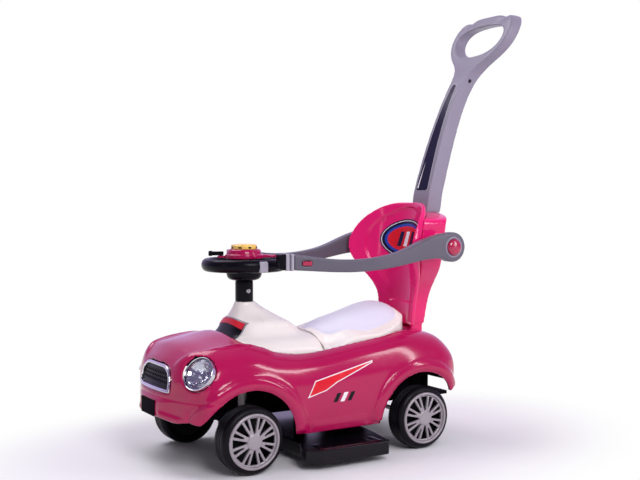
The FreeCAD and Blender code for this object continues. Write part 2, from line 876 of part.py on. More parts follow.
def make_chassis_screws():
    """Make the four screws that hold the body's posts to the frame."""
    screws = []
    for name, side in SIDES.items():
        for end, along in (("front", 1), ("rear", -1)):
            x = f"{along} * {end}_post_x"
            y = f"{side} * {end}_post_y"
            head = cylinder(
                f"head_{end}_{name}", (
                    x, y, "deck_top - deck_thickness - screw_head_height",
                ), "screw_head_radius",
                "screw_head_height",
            )
            shank = cylinder(
                f"shank_{end}_{name}", (
                    x, y, "deck_top - deck_thickness - screw_head_height",
                ), "screw_radius",
                "screw_head_height + deck_thickness + screw_reach",
            )
            screws.append(fuse(f"screw_{end}_{name}", head, shank))
    node("chassis_screws", group("chassis_screws", *screws))


def make_knuckle(name, side):
    """Make one steering knuckle, its stub axle and its push nut."""
    axle = "wheelbase / 2"
    top = "beam_bottom - running_gap"
    link_bottom = "wheel_radius + link_lift"
    face = "wheel_inner_y + hub_start - running_gap"
    inner, outer = "kingpin_y - knuckle_inner", "kingpin_y + knuckle_outer"
    ends = (inner, outer) if side > 0 else (f"-({outer})", f"-({inner})")
    arm_ends = ("kingpin_y - arm_half", "kingpin_y + arm_half")
    if side < 0:
        arm_ends = (f"-({arm_ends[1]})", f"-({arm_ends[0]})")
    outward = Rotation(Vector(1, 0, 0), -90 * side)
    block = box(
        f"knuckle_block_{name}", (f"{axle} - knuckle_half", ends[0], "wheel_radius - knuckle_half"),
        (f"{axle} + knuckle_half", ends[1], top),
    )
    boss = cylinder(
        f"knuckle_boss_{name}", (
            axle, f"{side} * kingpin_y", "wheel_radius",
        ), "knuckle_half", f"{face} - kingpin_y", outward,
    )
    arm = box(
        f"knuckle_arm_{name}", (
            f"{axle} - steer_arm - arm_half", arm_ends[0], f"{link_bottom} - running_gap - arm_depth",
        ),
        (axle, arm_ends[1], f"{link_bottom} - running_gap"),
    )
    pin = cylinder(
        f"knuckle_pin_{name}", (
            f"{axle} - steer_arm", f"{side} * kingpin_y", f"{link_bottom} - arm_depth",
        ), "link_pin_radius",
        "arm_depth + link_thickness + crank_lift / 2",
    )
    kingpin = cylinder(
        f"kingpin_{name}", (axle, f"{side} * kingpin_y", "wheel_radius"), "kingpin_radius",
        "deck_top + kingpin_boss_height + kingpin_tail - wheel_radius",
    )
    start = (axle, f"{side} * (kingpin_y - knuckle_inner)", "wheel_radius")
    length = "wheel_inner_y + hub_end + running_gap + nut_length - kingpin_y + knuckle_inner"
    bore = cylinder(f"stub_bore_{name}", start, "axle_radius + press_fit", length, outward)
    node(
        f"knuckle_{name}",
        cut(f"knuckle_{name}", fuse(f"knuckle_solids_{name}", block, boss, arm, pin, kingpin), bore),
    )
    node(f"stub_axle_{name}", cylinder(f"stub_axle_{name}", start, "axle_radius", length, outward))
    node(f"front_axle_nut_{name}", make_axle_nut(f"front_nut_{name}", 1, side))


def make_tie_link():
    """Make the sliding link that ties both knuckle arms to the steering crank."""
    bar_x = "wheelbase / 2 - steer_arm"
    crank_x = "column_x - steer_arm"
    low, high = "wheel_radius + link_lift", "wheel_radius + link_lift + link_thickness"
    bar = box(
        "link_bar", (f"{bar_x} - link_half", "-kingpin_y - link_end", low), (
            f"{bar_x} + link_half", "kingpin_y + link_end", high,
        ),
    )
    tongue = box(
        "link_tongue", (f"{crank_x} - link_half", "-tongue_half", low), (bar_x, "tongue_half", high),
    )
    slots = []
    for name, x, y in (
        ("left", bar_x, "kingpin_y"), ("right", bar_x, "-kingpin_y"), ("crank", crank_x, "0"),
    ):
        half = "(link_pin_radius + link_side_play)"
        slots.append(box(
            f"link_slot_{name}", (f"{x} - {half}", f"{y} - {half}", f"{low} - overrun"),
            (f"{x} + link_pin_radius + link_end_play", f"{y} + {half}", f"{high} + overrun"),
        ))
    node("tie_link", cut("tie_link", fuse("link_plate", bar, tongue), *slots))


def make_footrest():
    """Make the footrest tray with a wing on each side, each with a raised and grooved tread pad."""
    left = [
        Vector(
            along_share * sheet.footrest_half_length, across_share * sheet.footrest_half_width,
            sheet.footrest_bottom,
        )
        for along_share, across_share in FOOTREST_SHARES
    ]
    corners = mirrored(left)
    wire = Part.makePolygon(corners + [corners[0]])
    tray = prism(wire, Vector(0, 0, sheet.footrest_top - sheet.footrest_bottom))
    hollow = prism(
        wire.makeOffset2D(-sheet.footrest_wall),
        Vector(0, 0, sheet.footrest_top - sheet.footrest_bottom - sheet.footrest_wall),
    )
    pads = []
    grooves = []
    for side in SIDES.values():
        middle = Vector(0, side * sheet.tread_y, sheet.footrest_top)
        pads.append(half_space(
            middle - Vector(sheet.pad_half_length, sheet.pad_half_width, sheet.footrest_wall / 2),
            middle + Vector(sheet.pad_half_length, sheet.pad_half_width, sheet.pad_rise),
        ))
        for step in range(int(sheet.tread_count)):
            x = (step - (sheet.tread_count - 1) / 2) * sheet.tread_pitch
            low = Vector(
                x - sheet.tread_width / 2,
                side * sheet.tread_y - sheet.tread_length / 2,
                sheet.footrest_top + sheet.pad_rise - sheet.tread_depth,
            )
            grooves.append(Part.makeBox(sheet.tread_width, sheet.tread_length, sheet.overrun, low))
    node("footrest", feature("footrest", tray.cut(hollow).fuse(pads).cut(grooves)))


def headlight_turn(side):
    """Return the turn that points Z out of a headlight."""
    yaw = Rotation(Vector(0, 0, 1), side * sheet.headlight_yaw)
    return yaw.multiply(Rotation(Vector(0, 1, 0), 90 - sheet.headlight_pitch))


def make_body_shell():
    """Make the hollow body with its arches, flares, seat opening and nose openings."""
    full = body_solid(0, 0)
    inside = body_solid(-sheet.wall, sheet.overrun)
    raised = body_solid(sheet.flare_proud, 0).cut(inside)
    shell = full.cut(inside)
    reach = sheet.body_half_width + sheet.flare_proud + sheet.overrun
    keep = half_space(
        Vector(-2 * sheet.body_rear, -reach, sheet.flare_foot), Vector(
            2 * sheet.body_front, reach, sheet.hood_height,
        ),
    )
    posts = []
    arches = []
    cuts = [opening_prism(0), grille_prism(0)]
    for side in SIDES.values():
        for x, y in ((sheet.front_post_x, sheet.front_post_y), (-sheet.rear_post_x, sheet.rear_post_y)):
            foot = Vector(x, side * y, sheet.deck_top)
            post = rod(foot, foot + Vector(0, 0, sheet.hood_height), sheet.post_radius).common(full)
            posts.append(
                post.cut(
                    rod(
                        foot, foot + Vector(0, 0, sheet.screw_reach + sheet.overrun),
                        sheet.screw_radius + sheet.press_fit,
                    ),
                ),
            )
        for along in (1, -1):
            middle = Vector(along * sheet.wheelbase / 2, 0, sheet.wheel_radius - sheet.arch_drop)
            outside = middle + Vector(0, side * reach, 0)
            cuts.append(
                rod(
                    middle + Vector(0, side * sheet.arch_root, 0), outside,
                    sheet.wheel_radius + sheet.arch_gap,
                ),
            )
            root = middle + Vector(0, side * sheet.flare_root, 0)
            arch = rod(root, outside, sheet.wheel_radius + sheet.arch_gap + sheet.flare_width)
            arches.append(arch.common(raised).common(keep))
        lamp = Part.makeCylinder(
            sheet.bezel_radius + sheet.press_fit, 2 * sheet.bezel_radius, Vector(0, 0, -sheet.bezel_radius),
        )
        lamp.Placement = headlight_place(side)
        cuts.append(lamp)
    slot = half_space(
        Vector(
            -sheet.foot_rear - sheet.running_gap, -sheet.foot_half_width - sheet.running_gap,
            sheet.deck_top,
        ),
        Vector(
            -sheet.foot_front + sheet.running_gap, sheet.foot_half_width + sheet.running_gap,
            sheet.backrest_top,
        ),
    )
    shell = shell.fuse(arches).cut(cuts + [slot])
    node("body_shell", feature("body_shell", shell.fuse(posts).removeSplitter()))


def headlight_place(side):
    """Return the placement of a headlight, its Z axis pointing out."""
    return Placement(
        Vector(sheet.headlight_x, side * sheet.headlight_y, sheet.headlight_z), headlight_turn(side),
    )


def grille_prism(inset):
    """Return the grille's outline as a block along the nose."""
    front = sheet.body_front + sheet.overrun
    return cross_prism(
        GRILLE_OUTLINE_SHARES, sheet.grille_half_width, sheet.grille_bottom, sheet.grille_top,
        front, front - sheet.grille_reach, inset,
    )


def skin(outer, inner):
    """Return the layer of the body form between two offsets."""
    return body_solid(outer, outer).cut(body_solid(inner, inner))


def make_grille_and_plate():
    """Make the grille's frame, its dark mesh panel and the bare front plate."""
    depth = sheet.grille_set + sheet.grille_thickness
    opening = grille_prism(sheet.grille_frame_width)
    rim = grille_prism(sheet.press_fit).cut(opening)
    node("grille_frame", feature("grille_frame", rim.common(skin(sheet.grille_frame_proud, -depth))))
    mesh = grille_prism(sheet.grille_frame_width + sheet.press_fit).common(skin(-sheet.grille_set, -depth))
    node("grille_mesh", feature("grille_mesh", mesh))
    plate = half_space(
        Vector(sheet.body_front - sheet.plate_reach, -sheet.plate_half_width, sheet.plate_bottom),
        Vector(sheet.body_front + sheet.plate_reach, sheet.plate_half_width, sheet.plate_top),
    )
    node("number_plate", feature("number_plate", plate.common(skin(sheet.plate_thickness, 0))))


def make_headlights():
    """Make a bezel, a reflector bowl and a domed lens for each headlight."""
    inner = "bezel_radius - bezel_width"
    glass = f"{inner} - press_fit"
    shoulder = f"lens_dome * {LENS_SHOULDER_SHARE}"
    profiles = {
        "headlight_bezels": (
            (inner, "-bezel_depth"), ("bezel_radius", "-bezel_depth"), ("bezel_radius", "bezel_proud / 2"),
            ("bezel_radius - bezel_width / 2", "bezel_proud"), (inner, "bezel_proud / 2"),
        ),
        "headlight_reflectors": (
            ("0", "-reflector_depth - reflector_wall"), (
                "reflector_floor", "-reflector_depth - reflector_wall",
            ),
            (glass, "-lens_thickness - 2 * reflector_wall"), (glass, "-lens_thickness"),
            (f"{glass} - reflector_wall", "-lens_thickness"), ("reflector_floor", "-reflector_depth"), (
                "0", "-reflector_depth",
            ),
        ),
        "headlight_lenses": (
            ("0", "lens_dome - lens_thickness"), ("reflector_floor", f"{shoulder} - lens_thickness"),
            (glass, "-lens_thickness"), (glass, "0"), ("reflector_floor", shoulder), ("0", "lens_dome"),
        ),
    }
    for label, corners in profiles.items():
        pair = []
        for name, side in SIDES.items():
            body = revolved(f"{label}_{name}", corners)
            at = ("headlight_x", f"{side} * headlight_y", "headlight_z")
            pair.append(place(body, at, headlight_turn(side)))
        node(label, group(label, *pair))


def make_cowl():
    """Make the white cowl with its tower, posts and column bore, and its bush and dash panel."""
    full = cowl_solid(0)
    keep = opening_prism(sheet.opening_gap).common(half_space(
        Vector(sheet.cowl_rear, -sheet.opening_half_width, sheet.cowl_base), Vector(
            sheet.body_front, sheet.opening_half_width, sheet.cowl_top,
        ),
    ))
    outer = full.common(keep)
    inner = cowl_solid(-sheet.wall).common(opening_prism(sheet.opening_gap + sheet.wall))
    under = half_space(
        Vector(-sheet.body_rear, -sheet.body_half_width, 0), Vector(
            sheet.body_front, sheet.body_half_width, sheet.cowl_base,
        ),
    )
    column = Vector(sheet.column_x, 0, sheet.cowl_top)
    boss = rod(column - Vector(0, 0, sheet.tower_boss_depth), column, sheet.tower_boss_radius).common(outer)
    shell = outer.cut(inner).fuse(boss)
    for side in SIDES.values():
        for x, y in (
            (sheet.cowl_front_post_x, sheet.cowl_front_post_y), (
                sheet.cowl_rear_post_x, sheet.cowl_rear_post_y,
            ),
        ):
            foot = Vector(x, side * y, sheet.deck_top)
            post = rod(foot, foot + Vector(0, 0, sheet.cowl_top), sheet.cowl_post_radius)
            shell = shell.fuse([post.common(under), post.common(outer)])
    bore = rod(
        column - Vector(0, 0, sheet.tower_boss_depth + sheet.overrun), column + Vector(0, 0, sheet.overrun),
        sheet.bush_radius + sheet.press_fit,
    )
    node("cowl", feature("cowl", shell.cut(bore)))
    foot = ("column_x", "0", "cowl_top - tower_boss_depth")
    bush = cylinder("bush_outside", foot, "bush_radius", "tower_boss_depth")
    node(
        "column_bush",
        cut(
            "column_bush", bush,
            cylinder("bush_bore", foot, "shaft_radius + shaft_fit", "tower_boss_depth"),
        ),
    )
    window = half_space(
        Vector(sheet.column_x, -sheet.dash_half_width, sheet.dash_bottom), Vector(
            sheet.body_front, sheet.dash_half_width, sheet.dash_top,
        ),
    )
    node("dash_panel", feature("dash_panel", window.common(cowl_solid(sheet.dash_thickness)).cut(full)))


def make_seat():
    """Make the storage bin and the lift-off seat lid that covers it."""
    block = opening_prism(sheet.opening_gap)
    behind = half_space(
        Vector(-sheet.body_rear, -sheet.body_half_width, 0), Vector(
            sheet.lid_front, sheet.body_half_width, sheet.backrest_top,
        ),
    )
    solid = lid_solid(0).common(block).common(behind)
    front_wall = behind.copy()
    front_wall.translate(Vector(-sheet.wall, 0, 0))
    hollow = lid_solid(sheet.wall).common(opening_prism(sheet.opening_gap + sheet.wall)).common(front_wall)
    node("seat_lid", feature("seat_lid", solid.cut(hollow)))
    rim_top = sheet.lid_rest - sheet.running_gap
    outside = half_space(
        Vector(-sheet.bin_rear, -sheet.bin_half_width, sheet.deck_top), Vector(
            -sheet.bin_front, sheet.bin_half_width, rim_top,
        ),
    )
    inside = half_space(
        Vector(
            -sheet.bin_rear + sheet.bin_wall, -sheet.bin_half_width + sheet.bin_wall,
            sheet.deck_top + sheet.bin_wall,
        ),
        Vector(
            -sheet.bin_front - sheet.bin_wall, sheet.bin_half_width - sheet.bin_wall, sheet.backrest_top,
        ),
    )
    band = half_space(
        Vector(-sheet.body_rear, -sheet.body_half_width, rim_top - sheet.bin_rim), Vector(
            sheet.lid_front, sheet.body_half_width, rim_top,
        ),
    )
    rim = opening_prism(2 * sheet.opening_gap).common(band)
    node("storage_bin", feature("storage_bin", outside.fuse(rim).cut(inside).removeSplitter()))


def make_steering():
    """Make the steering wheel, its trims and module, the sleeve with its bolt and the shaft."""
    middle = Vector(sheet.column_x, 0, sheet.rim_height)
    ring_radius = sheet.rim_outer - sheet.rim_half_width
    section = Part.Ellipse(middle, sheet.rim_half_height, sheet.rim_half_width).toShape()
    section.rotate(middle, Vector(1, 0, 0), 90)
    section.rotate(middle, Vector(0, 1, 0), 90)
    section.translate(Vector(ring_radius, 0, 0))
    rim = Part.Face(Part.Wire([section])).revolve(middle, Vector(0, 0, 1), 360)
    foot = Vector(sheet.column_x, 0, sheet.sleeve_top)
    top = Vector(sheet.column_x, 0, sheet.horn_base)
    bowl = rod(foot, top, sheet.bowl_radius)
    spokes = []
    for angle in (90, 180, 270):
        spoke = Part.makeBox(
            ring_radius, 2 * sheet.spoke_half_width, 2 * sheet.spoke_half_height,
            middle - Vector(0, sheet.spoke_half_width, sheet.spoke_half_height),
        )
        spoke.rotate(middle, Vector(0, 0, 1), angle)
        spokes.append(spoke)
    cavity = rod(
        foot + Vector(0, 0, sheet.bowl_floor), top + Vector(0, 0, sheet.overrun),
        sheet.bowl_radius - sheet.bowl_wall,
    )
    bore = rod(
        foot - Vector(0, 0, sheet.overrun), foot + Vector(0, 0, sheet.overrun),
        sheet.shaft_radius + sheet.press_fit,
    )
    trims = []
    for side in SIDES.values():
        low = min(side * (ring_radius - sheet.rim_half_width), side * (sheet.rim_outer + sheet.trim_proud))
        trims.append(Part.makeBox(
            2 * sheet.trim_half_width, 2 * sheet.rim_half_width + sheet.trim_proud, 2 * (
                sheet.rim_half_height - sheet.trim_proud
            ),
            Vector(
                sheet.column_x - sheet.trim_half_width, low,
                sheet.rim_height - sheet.rim_half_height + sheet.trim_proud,
            ),
        ))
    wheel = rim.fuse([bowl] + spokes).cut([cavity, bore] + trims)
    node("steering_wheel", feature("steering_wheel", wheel.removeSplitter()))
    node("spoke_trims", feature("spoke_trims", Part.makeCompound(trims)))
    floor = ("column_x", "0", "sleeve_top + bowl_floor")
    node("sound_module", cylinder("sound_module", floor, "module_radius", "module_height"))
    low = ("column_x", "0", "cowl_top + running_gap")
    length = "sleeve_top - cowl_top - running_gap"
    crossing = Rotation(Vector(1, 0, 0), -90)
    across = ("column_x", "-sleeve_radius", "bolt_height")
    bolt_bore = cylinder("bolt_bore", across, "bolt_radius + press_fit", "2 * sleeve_radius", crossing)
    sleeve_bore = cylinder("sleeve_bore", low, "shaft_radius + press_fit", length)
    node(
        "column_sleeve",
        cut("column_sleeve", cylinder("sleeve", low, "sleeve_radius", length), sleeve_bore, bolt_bore),
    )
    shank = cylinder("bolt_shank", across, "bolt_radius", "2 * sleeve_radius", crossing)
    heads = [
        cylinder(
            f"bolt_head_{name}", ("column_x", y, "bolt_height"), "bolt_head_radius", "bolt_head_height",
            crossing,
        )
        for name, y in (("left", "sleeve_radius"), ("right", "-sleeve_radius - bolt_head_height"))
    ]
    node("column_bolt", fuse("column_bolt", shank, *heads))
    crank_bottom = "wheel_radius + link_lift + link_thickness + crank_lift"
    rod_part = cylinder(
        "shaft_rod", ("column_x", "0", crank_bottom), "shaft_radius",
        f"sleeve_top + bowl_floor - ({crank_bottom})",
    )
    crank = box(
        "shaft_crank", ("column_x - steer_arm - crank_half", "-crank_half", crank_bottom),
        ("column_x + crank_half", "crank_half", f"{crank_bottom} + crank_depth"),
    )
    pin = cylinder(
        "crank_pin", (
            "column_x - steer_arm", "0", "wheel_radius + link_lift",
        ), "link_pin_radius", "link_thickness + crank_lift + crank_depth",
    )
    cross_bore = cylinder(
        "shaft_bolt_bore", across, "bolt_radius + press_fit", "2 * sleeve_radius", crossing,
    )
    node("steering_shaft", cut("steering_shaft", fuse("shaft_solids", rod_part, crank, pin), cross_bore))


def make_horn():
    """Make the horn housing, its push button and the small lever beside it."""
    top = "horn_base + horn_height"
    pocket = "horn_button_radius + horn_button_gap"
    floor = f"{top} - horn_pocket"
    housing = revolved("horn_shell", (
        ("0", "horn_base"), ("horn_radius", "horn_base"), ("horn_radius", f"{top} - horn_slope"),
        ("horn_radius - horn_slope", top), (pocket, top), (pocket, floor), ("0", floor),
    ))
    place(housing, ("column_x", "0", "0"))
    turn = Rotation(Vector(0, 0, 1), sheet.lever_angle)
    reach = value("horn_radius + lever_base_reach")
    heading = turn.multVec(Vector(1, 0, 0))
    pivot = Vector(sheet.column_x, 0, sheet.lever_height) + heading * reach
    bracket = Part.makeBox(
        sheet.lever_base_reach + sheet.lever_base_half, 2 * sheet.lever_base_half, sheet.lever_radius,
        Vector(
            value("horn_radius - lever_base_half"), -sheet.lever_base_half,
            sheet.lever_height - 2 * sheet.lever_radius - sheet.running_gap,
        ),
    )
    bracket.Placement = Placement(Vector(sheet.column_x, 0, 0), turn).multiply(bracket.Placement)
    pin_foot = pivot - Vector(0, 0, sheet.lever_radius + sheet.running_gap)
    pin = rod(pin_foot, pin_foot + Vector(0, 0, 2 * sheet.lever_radius), sheet.lever_pin_radius)
    block = fuse("horn_block", housing, feature("lever_bracket", bracket.fuse(pin)))
    node("horn_housing", block)
    start = f"{floor} + horn_travel + horn_stop_gap"
    face = f"{top} + horn_button_proud"
    button = revolved("horn_cap", (
        ("0", start), ("horn_button_radius", start), ("horn_button_radius", f"{face} - button_edge"),
        ("horn_button_radius - button_edge", face), ("0", face),
    ))
    node("horn_button", place(button, ("column_x", "0", "0")))
    eye = Part.makeCylinder(
        sheet.lever_base_half, 2 * sheet.lever_radius, pivot - Vector(0, 0, sheet.lever_radius),
    )
    stalk = rod(pivot, pivot + heading * sheet.lever_length, sheet.lever_radius)
    knob_end = pivot + heading * (sheet.lever_length + sheet.lever_knob_length)
    knob = rod(pivot + heading * sheet.lever_length, knob_end, sheet.lever_knob_radius)
    bore = rod(
        pivot - Vector(0, 0, sheet.lever_height), pivot + Vector(0, 0, sheet.lever_height),
        sheet.lever_pin_radius + sheet.shaft_fit,
    )
    node("signal_lever", feature("signal_lever", eye.fuse([stalk, knob]).cut(bore)))


def backrest_slab(near, far, far_lean):
    """Return the leaning, hollow-faced slab between two depths, the far one with its own lean."""
    axis = Vector(-sheet.backrest_front + sheet.backrest_curve, 0, sheet.backrest_base)
    rods = []
    for lean, depth in ((far_lean, far), (sheet.backrest_lean, near)):
        up = Rotation(Vector(0, 1, 0), -lean).multVec(Vector(0, 0, 1))
        foot, head = axis - up * sheet.backrest_curve, axis + up * sheet.backrest_top
        rods.append(rod(foot, head, sheet.backrest_curve + depth))
    behind = half_space(
        Vector(-2 * sheet.body_rear, -sheet.body_half_width, 0),
        Vector(axis.x - sheet.backrest_curve / 2, sheet.body_half_width, 2 * sheet.backrest_top),
    )
    return rods[0].cut(rods[1]).common(behind)


def backrest_prism(shares):
    """Return a backrest outline as a block along the car."""
    half = [
        Vector(
            0, across_share * sheet.backrest_half_width,
            sheet.backrest_base + up_share * (sheet.backrest_top - sheet.backrest_base),
        )
        for across_share, up_share in shares
    ]
    top_share = shares[-1][1] + (1 - shares[-1][1]) / 2
    top = Vector(0, 0, sheet.backrest_base + top_share * (sheet.backrest_top - sheet.backrest_base))
    return prism(capped_curve(mirrored(half + [top])), Vector(-2 * sheet.body_rear, 0, 0))


def back_screws(extra):
    """Return the four screws through the rear half into the front half, grown by an allowance."""
    screws = []
    for side in SIDES.values():
        for height in (sheet.back_screw_low, sheet.back_screw_high):
            lean = math.tan(math.radians(sheet.backrest_lean)) * (height - sheet.backrest_base)
            inward = sheet.backrest_curve - math.sqrt(sheet.backrest_curve ** 2 - sheet.back_screw_y ** 2)
            tip = Vector(
                -sheet.backrest_front - lean + inward - sheet.backrest_skin / 2, side * sheet.back_screw_y,
                height,
            )
            seat = tip - Vector(sheet.back_screw_length, 0, 0)
            head_length = sheet.screw_head_height if not extra else sheet.backrest_depth
            shank = rod(seat, tip, sheet.screw_radius + extra)
            head = rod(seat - Vector(head_length, 0, 0), seat, sheet.screw_head_radius + extra)
            screws.append(shank.fuse(head))
    return screws


def handle_axis():
    """Return the unit vector up the handle's straight lower end."""
    up_share, back_share = HANDLE_PATH_SHARES[1]
    return Vector(-back_share * sheet.handle_lean_back, 0, up_share * sheet.handle_rise).normalize()


def tang_solid(extra):
    """Return the handle's tang, grown by an allowance."""
    up = handle_axis()
    tilt = Rotation(Vector(0, 0, 1), up)
    tang = Part.makeBox(
        sheet.tang_depth + 2 * extra, 2 * (
            sheet.tang_half_width + extra
        ), sheet.tang_length + extra + sheet.overrun,
        Vector(
            -sheet.tang_set - sheet.tang_depth - extra, -sheet.tang_half_width - extra,
            -sheet.tang_length - extra,
        ),
    )
    tang.Placement = Placement(Vector(-sheet.handle_base_x, 0, sheet.handle_base_z), tilt)
    return tang


def make_backrest():
    """Make the two backrest halves, the badge, the screws and the pins that the guard arms turn on."""
    lean = sheet.backrest_lean
    rear_lean = sheet.backrest_rear_lean
    front = backrest_prism(FRONT_BACKREST_SHARES).common(backrest_slab(0, sheet.backrest_skin, lean))
    panel = backrest_prism(PANEL_SHARES).common(backrest_slab(-sheet.overrun, sheet.panel_depth, lean))
    node("backrest_front", feature("backrest_front", front.cut([panel] + back_screws(sheet.press_fit))))
    oval = Part.Ellipse(Vector(), sheet.badge_half_width, sheet.badge_half_height).toShape()
    oval.rotate(Vector(), Vector(1, 0, 0), 90)
    oval.rotate(Vector(), Vector(0, 0, 1), 90)
    oval.translate(Vector(0, 0, sheet.badge_height))
    badge = prism(Part.Wire([oval]), Vector(-2 * sheet.body_rear, 0, 0))
    seat_depth = sheet.panel_depth - sheet.press_fit
    layer = backrest_slab(seat_depth - sheet.badge_thickness, seat_depth, lean)
    node("backrest_badge", feature("backrest_badge", badge.common(layer)))
    rear = backrest_prism(REAR_BACKREST_SHARES).common(
        backrest_slab(sheet.backrest_skin, sheet.backrest_depth, rear_lean),
    )
    foot = half_space(
        Vector(-sheet.foot_rear, -sheet.foot_half_width, sheet.deck_top),
        Vector(-sheet.foot_front, sheet.foot_half_width, sheet.backrest_base + sheet.overrun),
    )
    seat = half_space(
        Vector(
            -2 * sheet.body_rear, -sheet.handle_seat_half_width, sheet.handle_base_z - sheet.running_gap,
        ),
        Vector(0, sheet.handle_seat_half_width, 2 * sheet.backrest_top),
    )
    bosses = []
    cuts = [seat, tang_solid(sheet.tang_gap), lock_solid(sheet.lock_gap, sheet.lock_travel)] + back_screws(
        sheet.press_fit,
    )
    pins = []
    for side in SIDES.values():
        axis = Vector(-sheet.pivot_x, 0, sheet.pivot_z)
        root, face, pin_root = (
            axis + Vector(0, side * y, 0) for y in (
                sheet.pivot_boss_root, sheet.pivot_boss_face, sheet.pivot_pin_root,
            )
        )
        tip = axis + Vector(0, side * (sheet.pivot_boss_face + sheet.arm_width), 0)
        bosses.append(
            rod(root, face, sheet.pivot_boss_radius).cut(
                backrest_slab(-sheet.backrest_curve / 2, sheet.backrest_skin, lean),
            ),
        )
        cuts.append(
            rod(pin_root, face + Vector(0, side * sheet.overrun, 0), sheet.pivot_radius + sheet.press_fit),
        )
        pins.append(rod(pin_root, tip, sheet.pivot_radius))
    inside = half_space(
        Vector(-sheet.foot_rear + sheet.wall, -sheet.foot_half_width + sheet.wall, 0),
        Vector(
            -sheet.foot_front - sheet.wall, sheet.foot_half_width - sheet.wall,
            sheet.backrest_base - sheet.wall,
        ),
    )
    hollow = backrest_prism(CAVITY_SHARES).common(
        backrest_slab(sheet.backrest_skin, sheet.backrest_depth - sheet.wall, rear_lean),
    )
    ribs = [
        tang_solid(sheet.tang_gap + sheet.wall), lock_solid(sheet.lock_gap + sheet.wall, 0),
    ] + back_screws(2 * sheet.wall)
    rear = rear.cut(hollow.cut(ribs)).fuse([foot.cut(inside)] + bosses).cut(cuts)
    node("backrest_rear", feature("backrest_rear", rear))
    node("backrest_screws", feature("backrest_screws", Part.makeCompound(back_screws(0))))
    node("guard_pivot_pins", feature("guard_pivot_pins", Part.makeCompound(pins)))
    node("handle_lock_button", feature("handle_lock_button", lock_solid(0, 0)))


def lock_solid(extra, travel):
    """Return the push button on the back of the handle socket, grown by an allowance and its travel."""
    lean = math.tan(math.radians(sheet.backrest_rear_lean)) * (sheet.lock_height - sheet.backrest_base)
    outer = Vector(
        -sheet.backrest_front - lean - sheet.backrest_depth - sheet.lock_proud, 0, sheet.lock_height,
    )
    start = outer - Vector(extra, 0, 0)
    return rod(start, outer + Vector(sheet.lock_length + travel + extra, 0, 0), sheet.lock_radius + extra)


def guard_points():
    """Return the guard arm's points along its length: place, height, half height and distance out."""
    length = sheet.arm_end_x + sheet.pivot_x
    middle = sheet.pivot_boss_face + sheet.running_gap + sheet.arm_width / 2
    points = []
    for along_share, rise_share, half_share, step_share in GUARD_ARM_SHARES:
        points.append((
            -sheet.pivot_x + along_share * length,
            sheet.pivot_z + rise_share * sheet.arm_disc_radius,
            half_share * sheet.arm_disc_radius,
            middle - step_share * (middle - sheet.arm_end_y),
        ))
    return points


def guard_solid(side):
    """Return a whole guard arm with its tip, before the two are parted."""
    points = guard_points()
    upper = [Vector(x, 0, z + half) for x, z, half, y in points]
    lower = [Vector(x, 0, z - half) for x, z, half, y in points]
    side_view = Part.Wire([
        open_curve(upper), Part.LineSegment(upper[-1], lower[-1]).toShape(), open_curve(lower[::-1]),
        Part.LineSegment(lower[0], upper[0]).toShape(),
    ])
    first, last = points[0][0], points[-1][0]
    outside, inside = [], []
    for x, z, half, y in points:
        width = sheet.arm_width + (sheet.arm_tip_width - sheet.arm_width) * (x - first) / (last - first)
        outside.append(Vector(x, side * (y + width / 2), 0))
        inside.append(Vector(x, side * (y - width / 2), 0))
    plan_view = Part.Wire([
        open_curve(outside), Part.LineSegment(outside[-1], inside[-1]).toShape(), open_curve(inside[::-1]),
        Part.LineSegment(inside[0], outside[0]).toShape(),
    ])
    side_block = prism(side_view, Vector(0, side * sheet.footrest_half_width, 0))
    plan_block = prism(plan_view, Vector(0, 0, sheet.backrest_top))
    root = Vector(-sheet.pivot_x, side * (sheet.pivot_boss_face + sheet.running_gap), sheet.pivot_z)
    disc = rod(root, root + Vector(0, side * sheet.arm_width, 0), sheet.arm_disc_radius)
    return side_block.common(plan_block).fuse(disc).removeSplitter()


def latch_place(side):
    """Return the placement of a latch button: X along the arm and Y out of its outer face."""
    points = guard_points()
    before = max((p for p in points if p[0] <= sheet.latch_x), key=lambda p: p[0])
    after = min((p for p in points if p[0] > sheet.latch_x), key=lambda p: p[0])
    share = (sheet.latch_x - before[0]) / (after[0] - before[0])
    height, out = (before[i] + share * (after[i] - before[i]) for i in (1, 3))
    slope = math.degrees(math.atan2(after[3] - before[3], after[0] - before[0]))
    face = out + sheet.arm_tip_width / 2 / math.cos(math.radians(slope))
    return Placement(Vector(sheet.latch_x, side * face, height), Rotation(Vector(0, 0, 1), side * slope))


def latch_solid(side, extra):
    """Return a latch button in its arm, grown by an allowance."""
    inner, outer = -sheet.latch_depth - extra, sheet.latch_proud + extra
    low = min(side * inner, side * outer)
    latch = Part.makeBox(
        2 * (sheet.latch_half_length + extra), outer - inner, 2 * (sheet.latch_half_height + extra),
        Vector(-sheet.latch_half_length - extra, low, -sheet.latch_half_height - extra),
    )
    latch.Placement = latch_place(side).multiply(latch.Placement)
    return latch


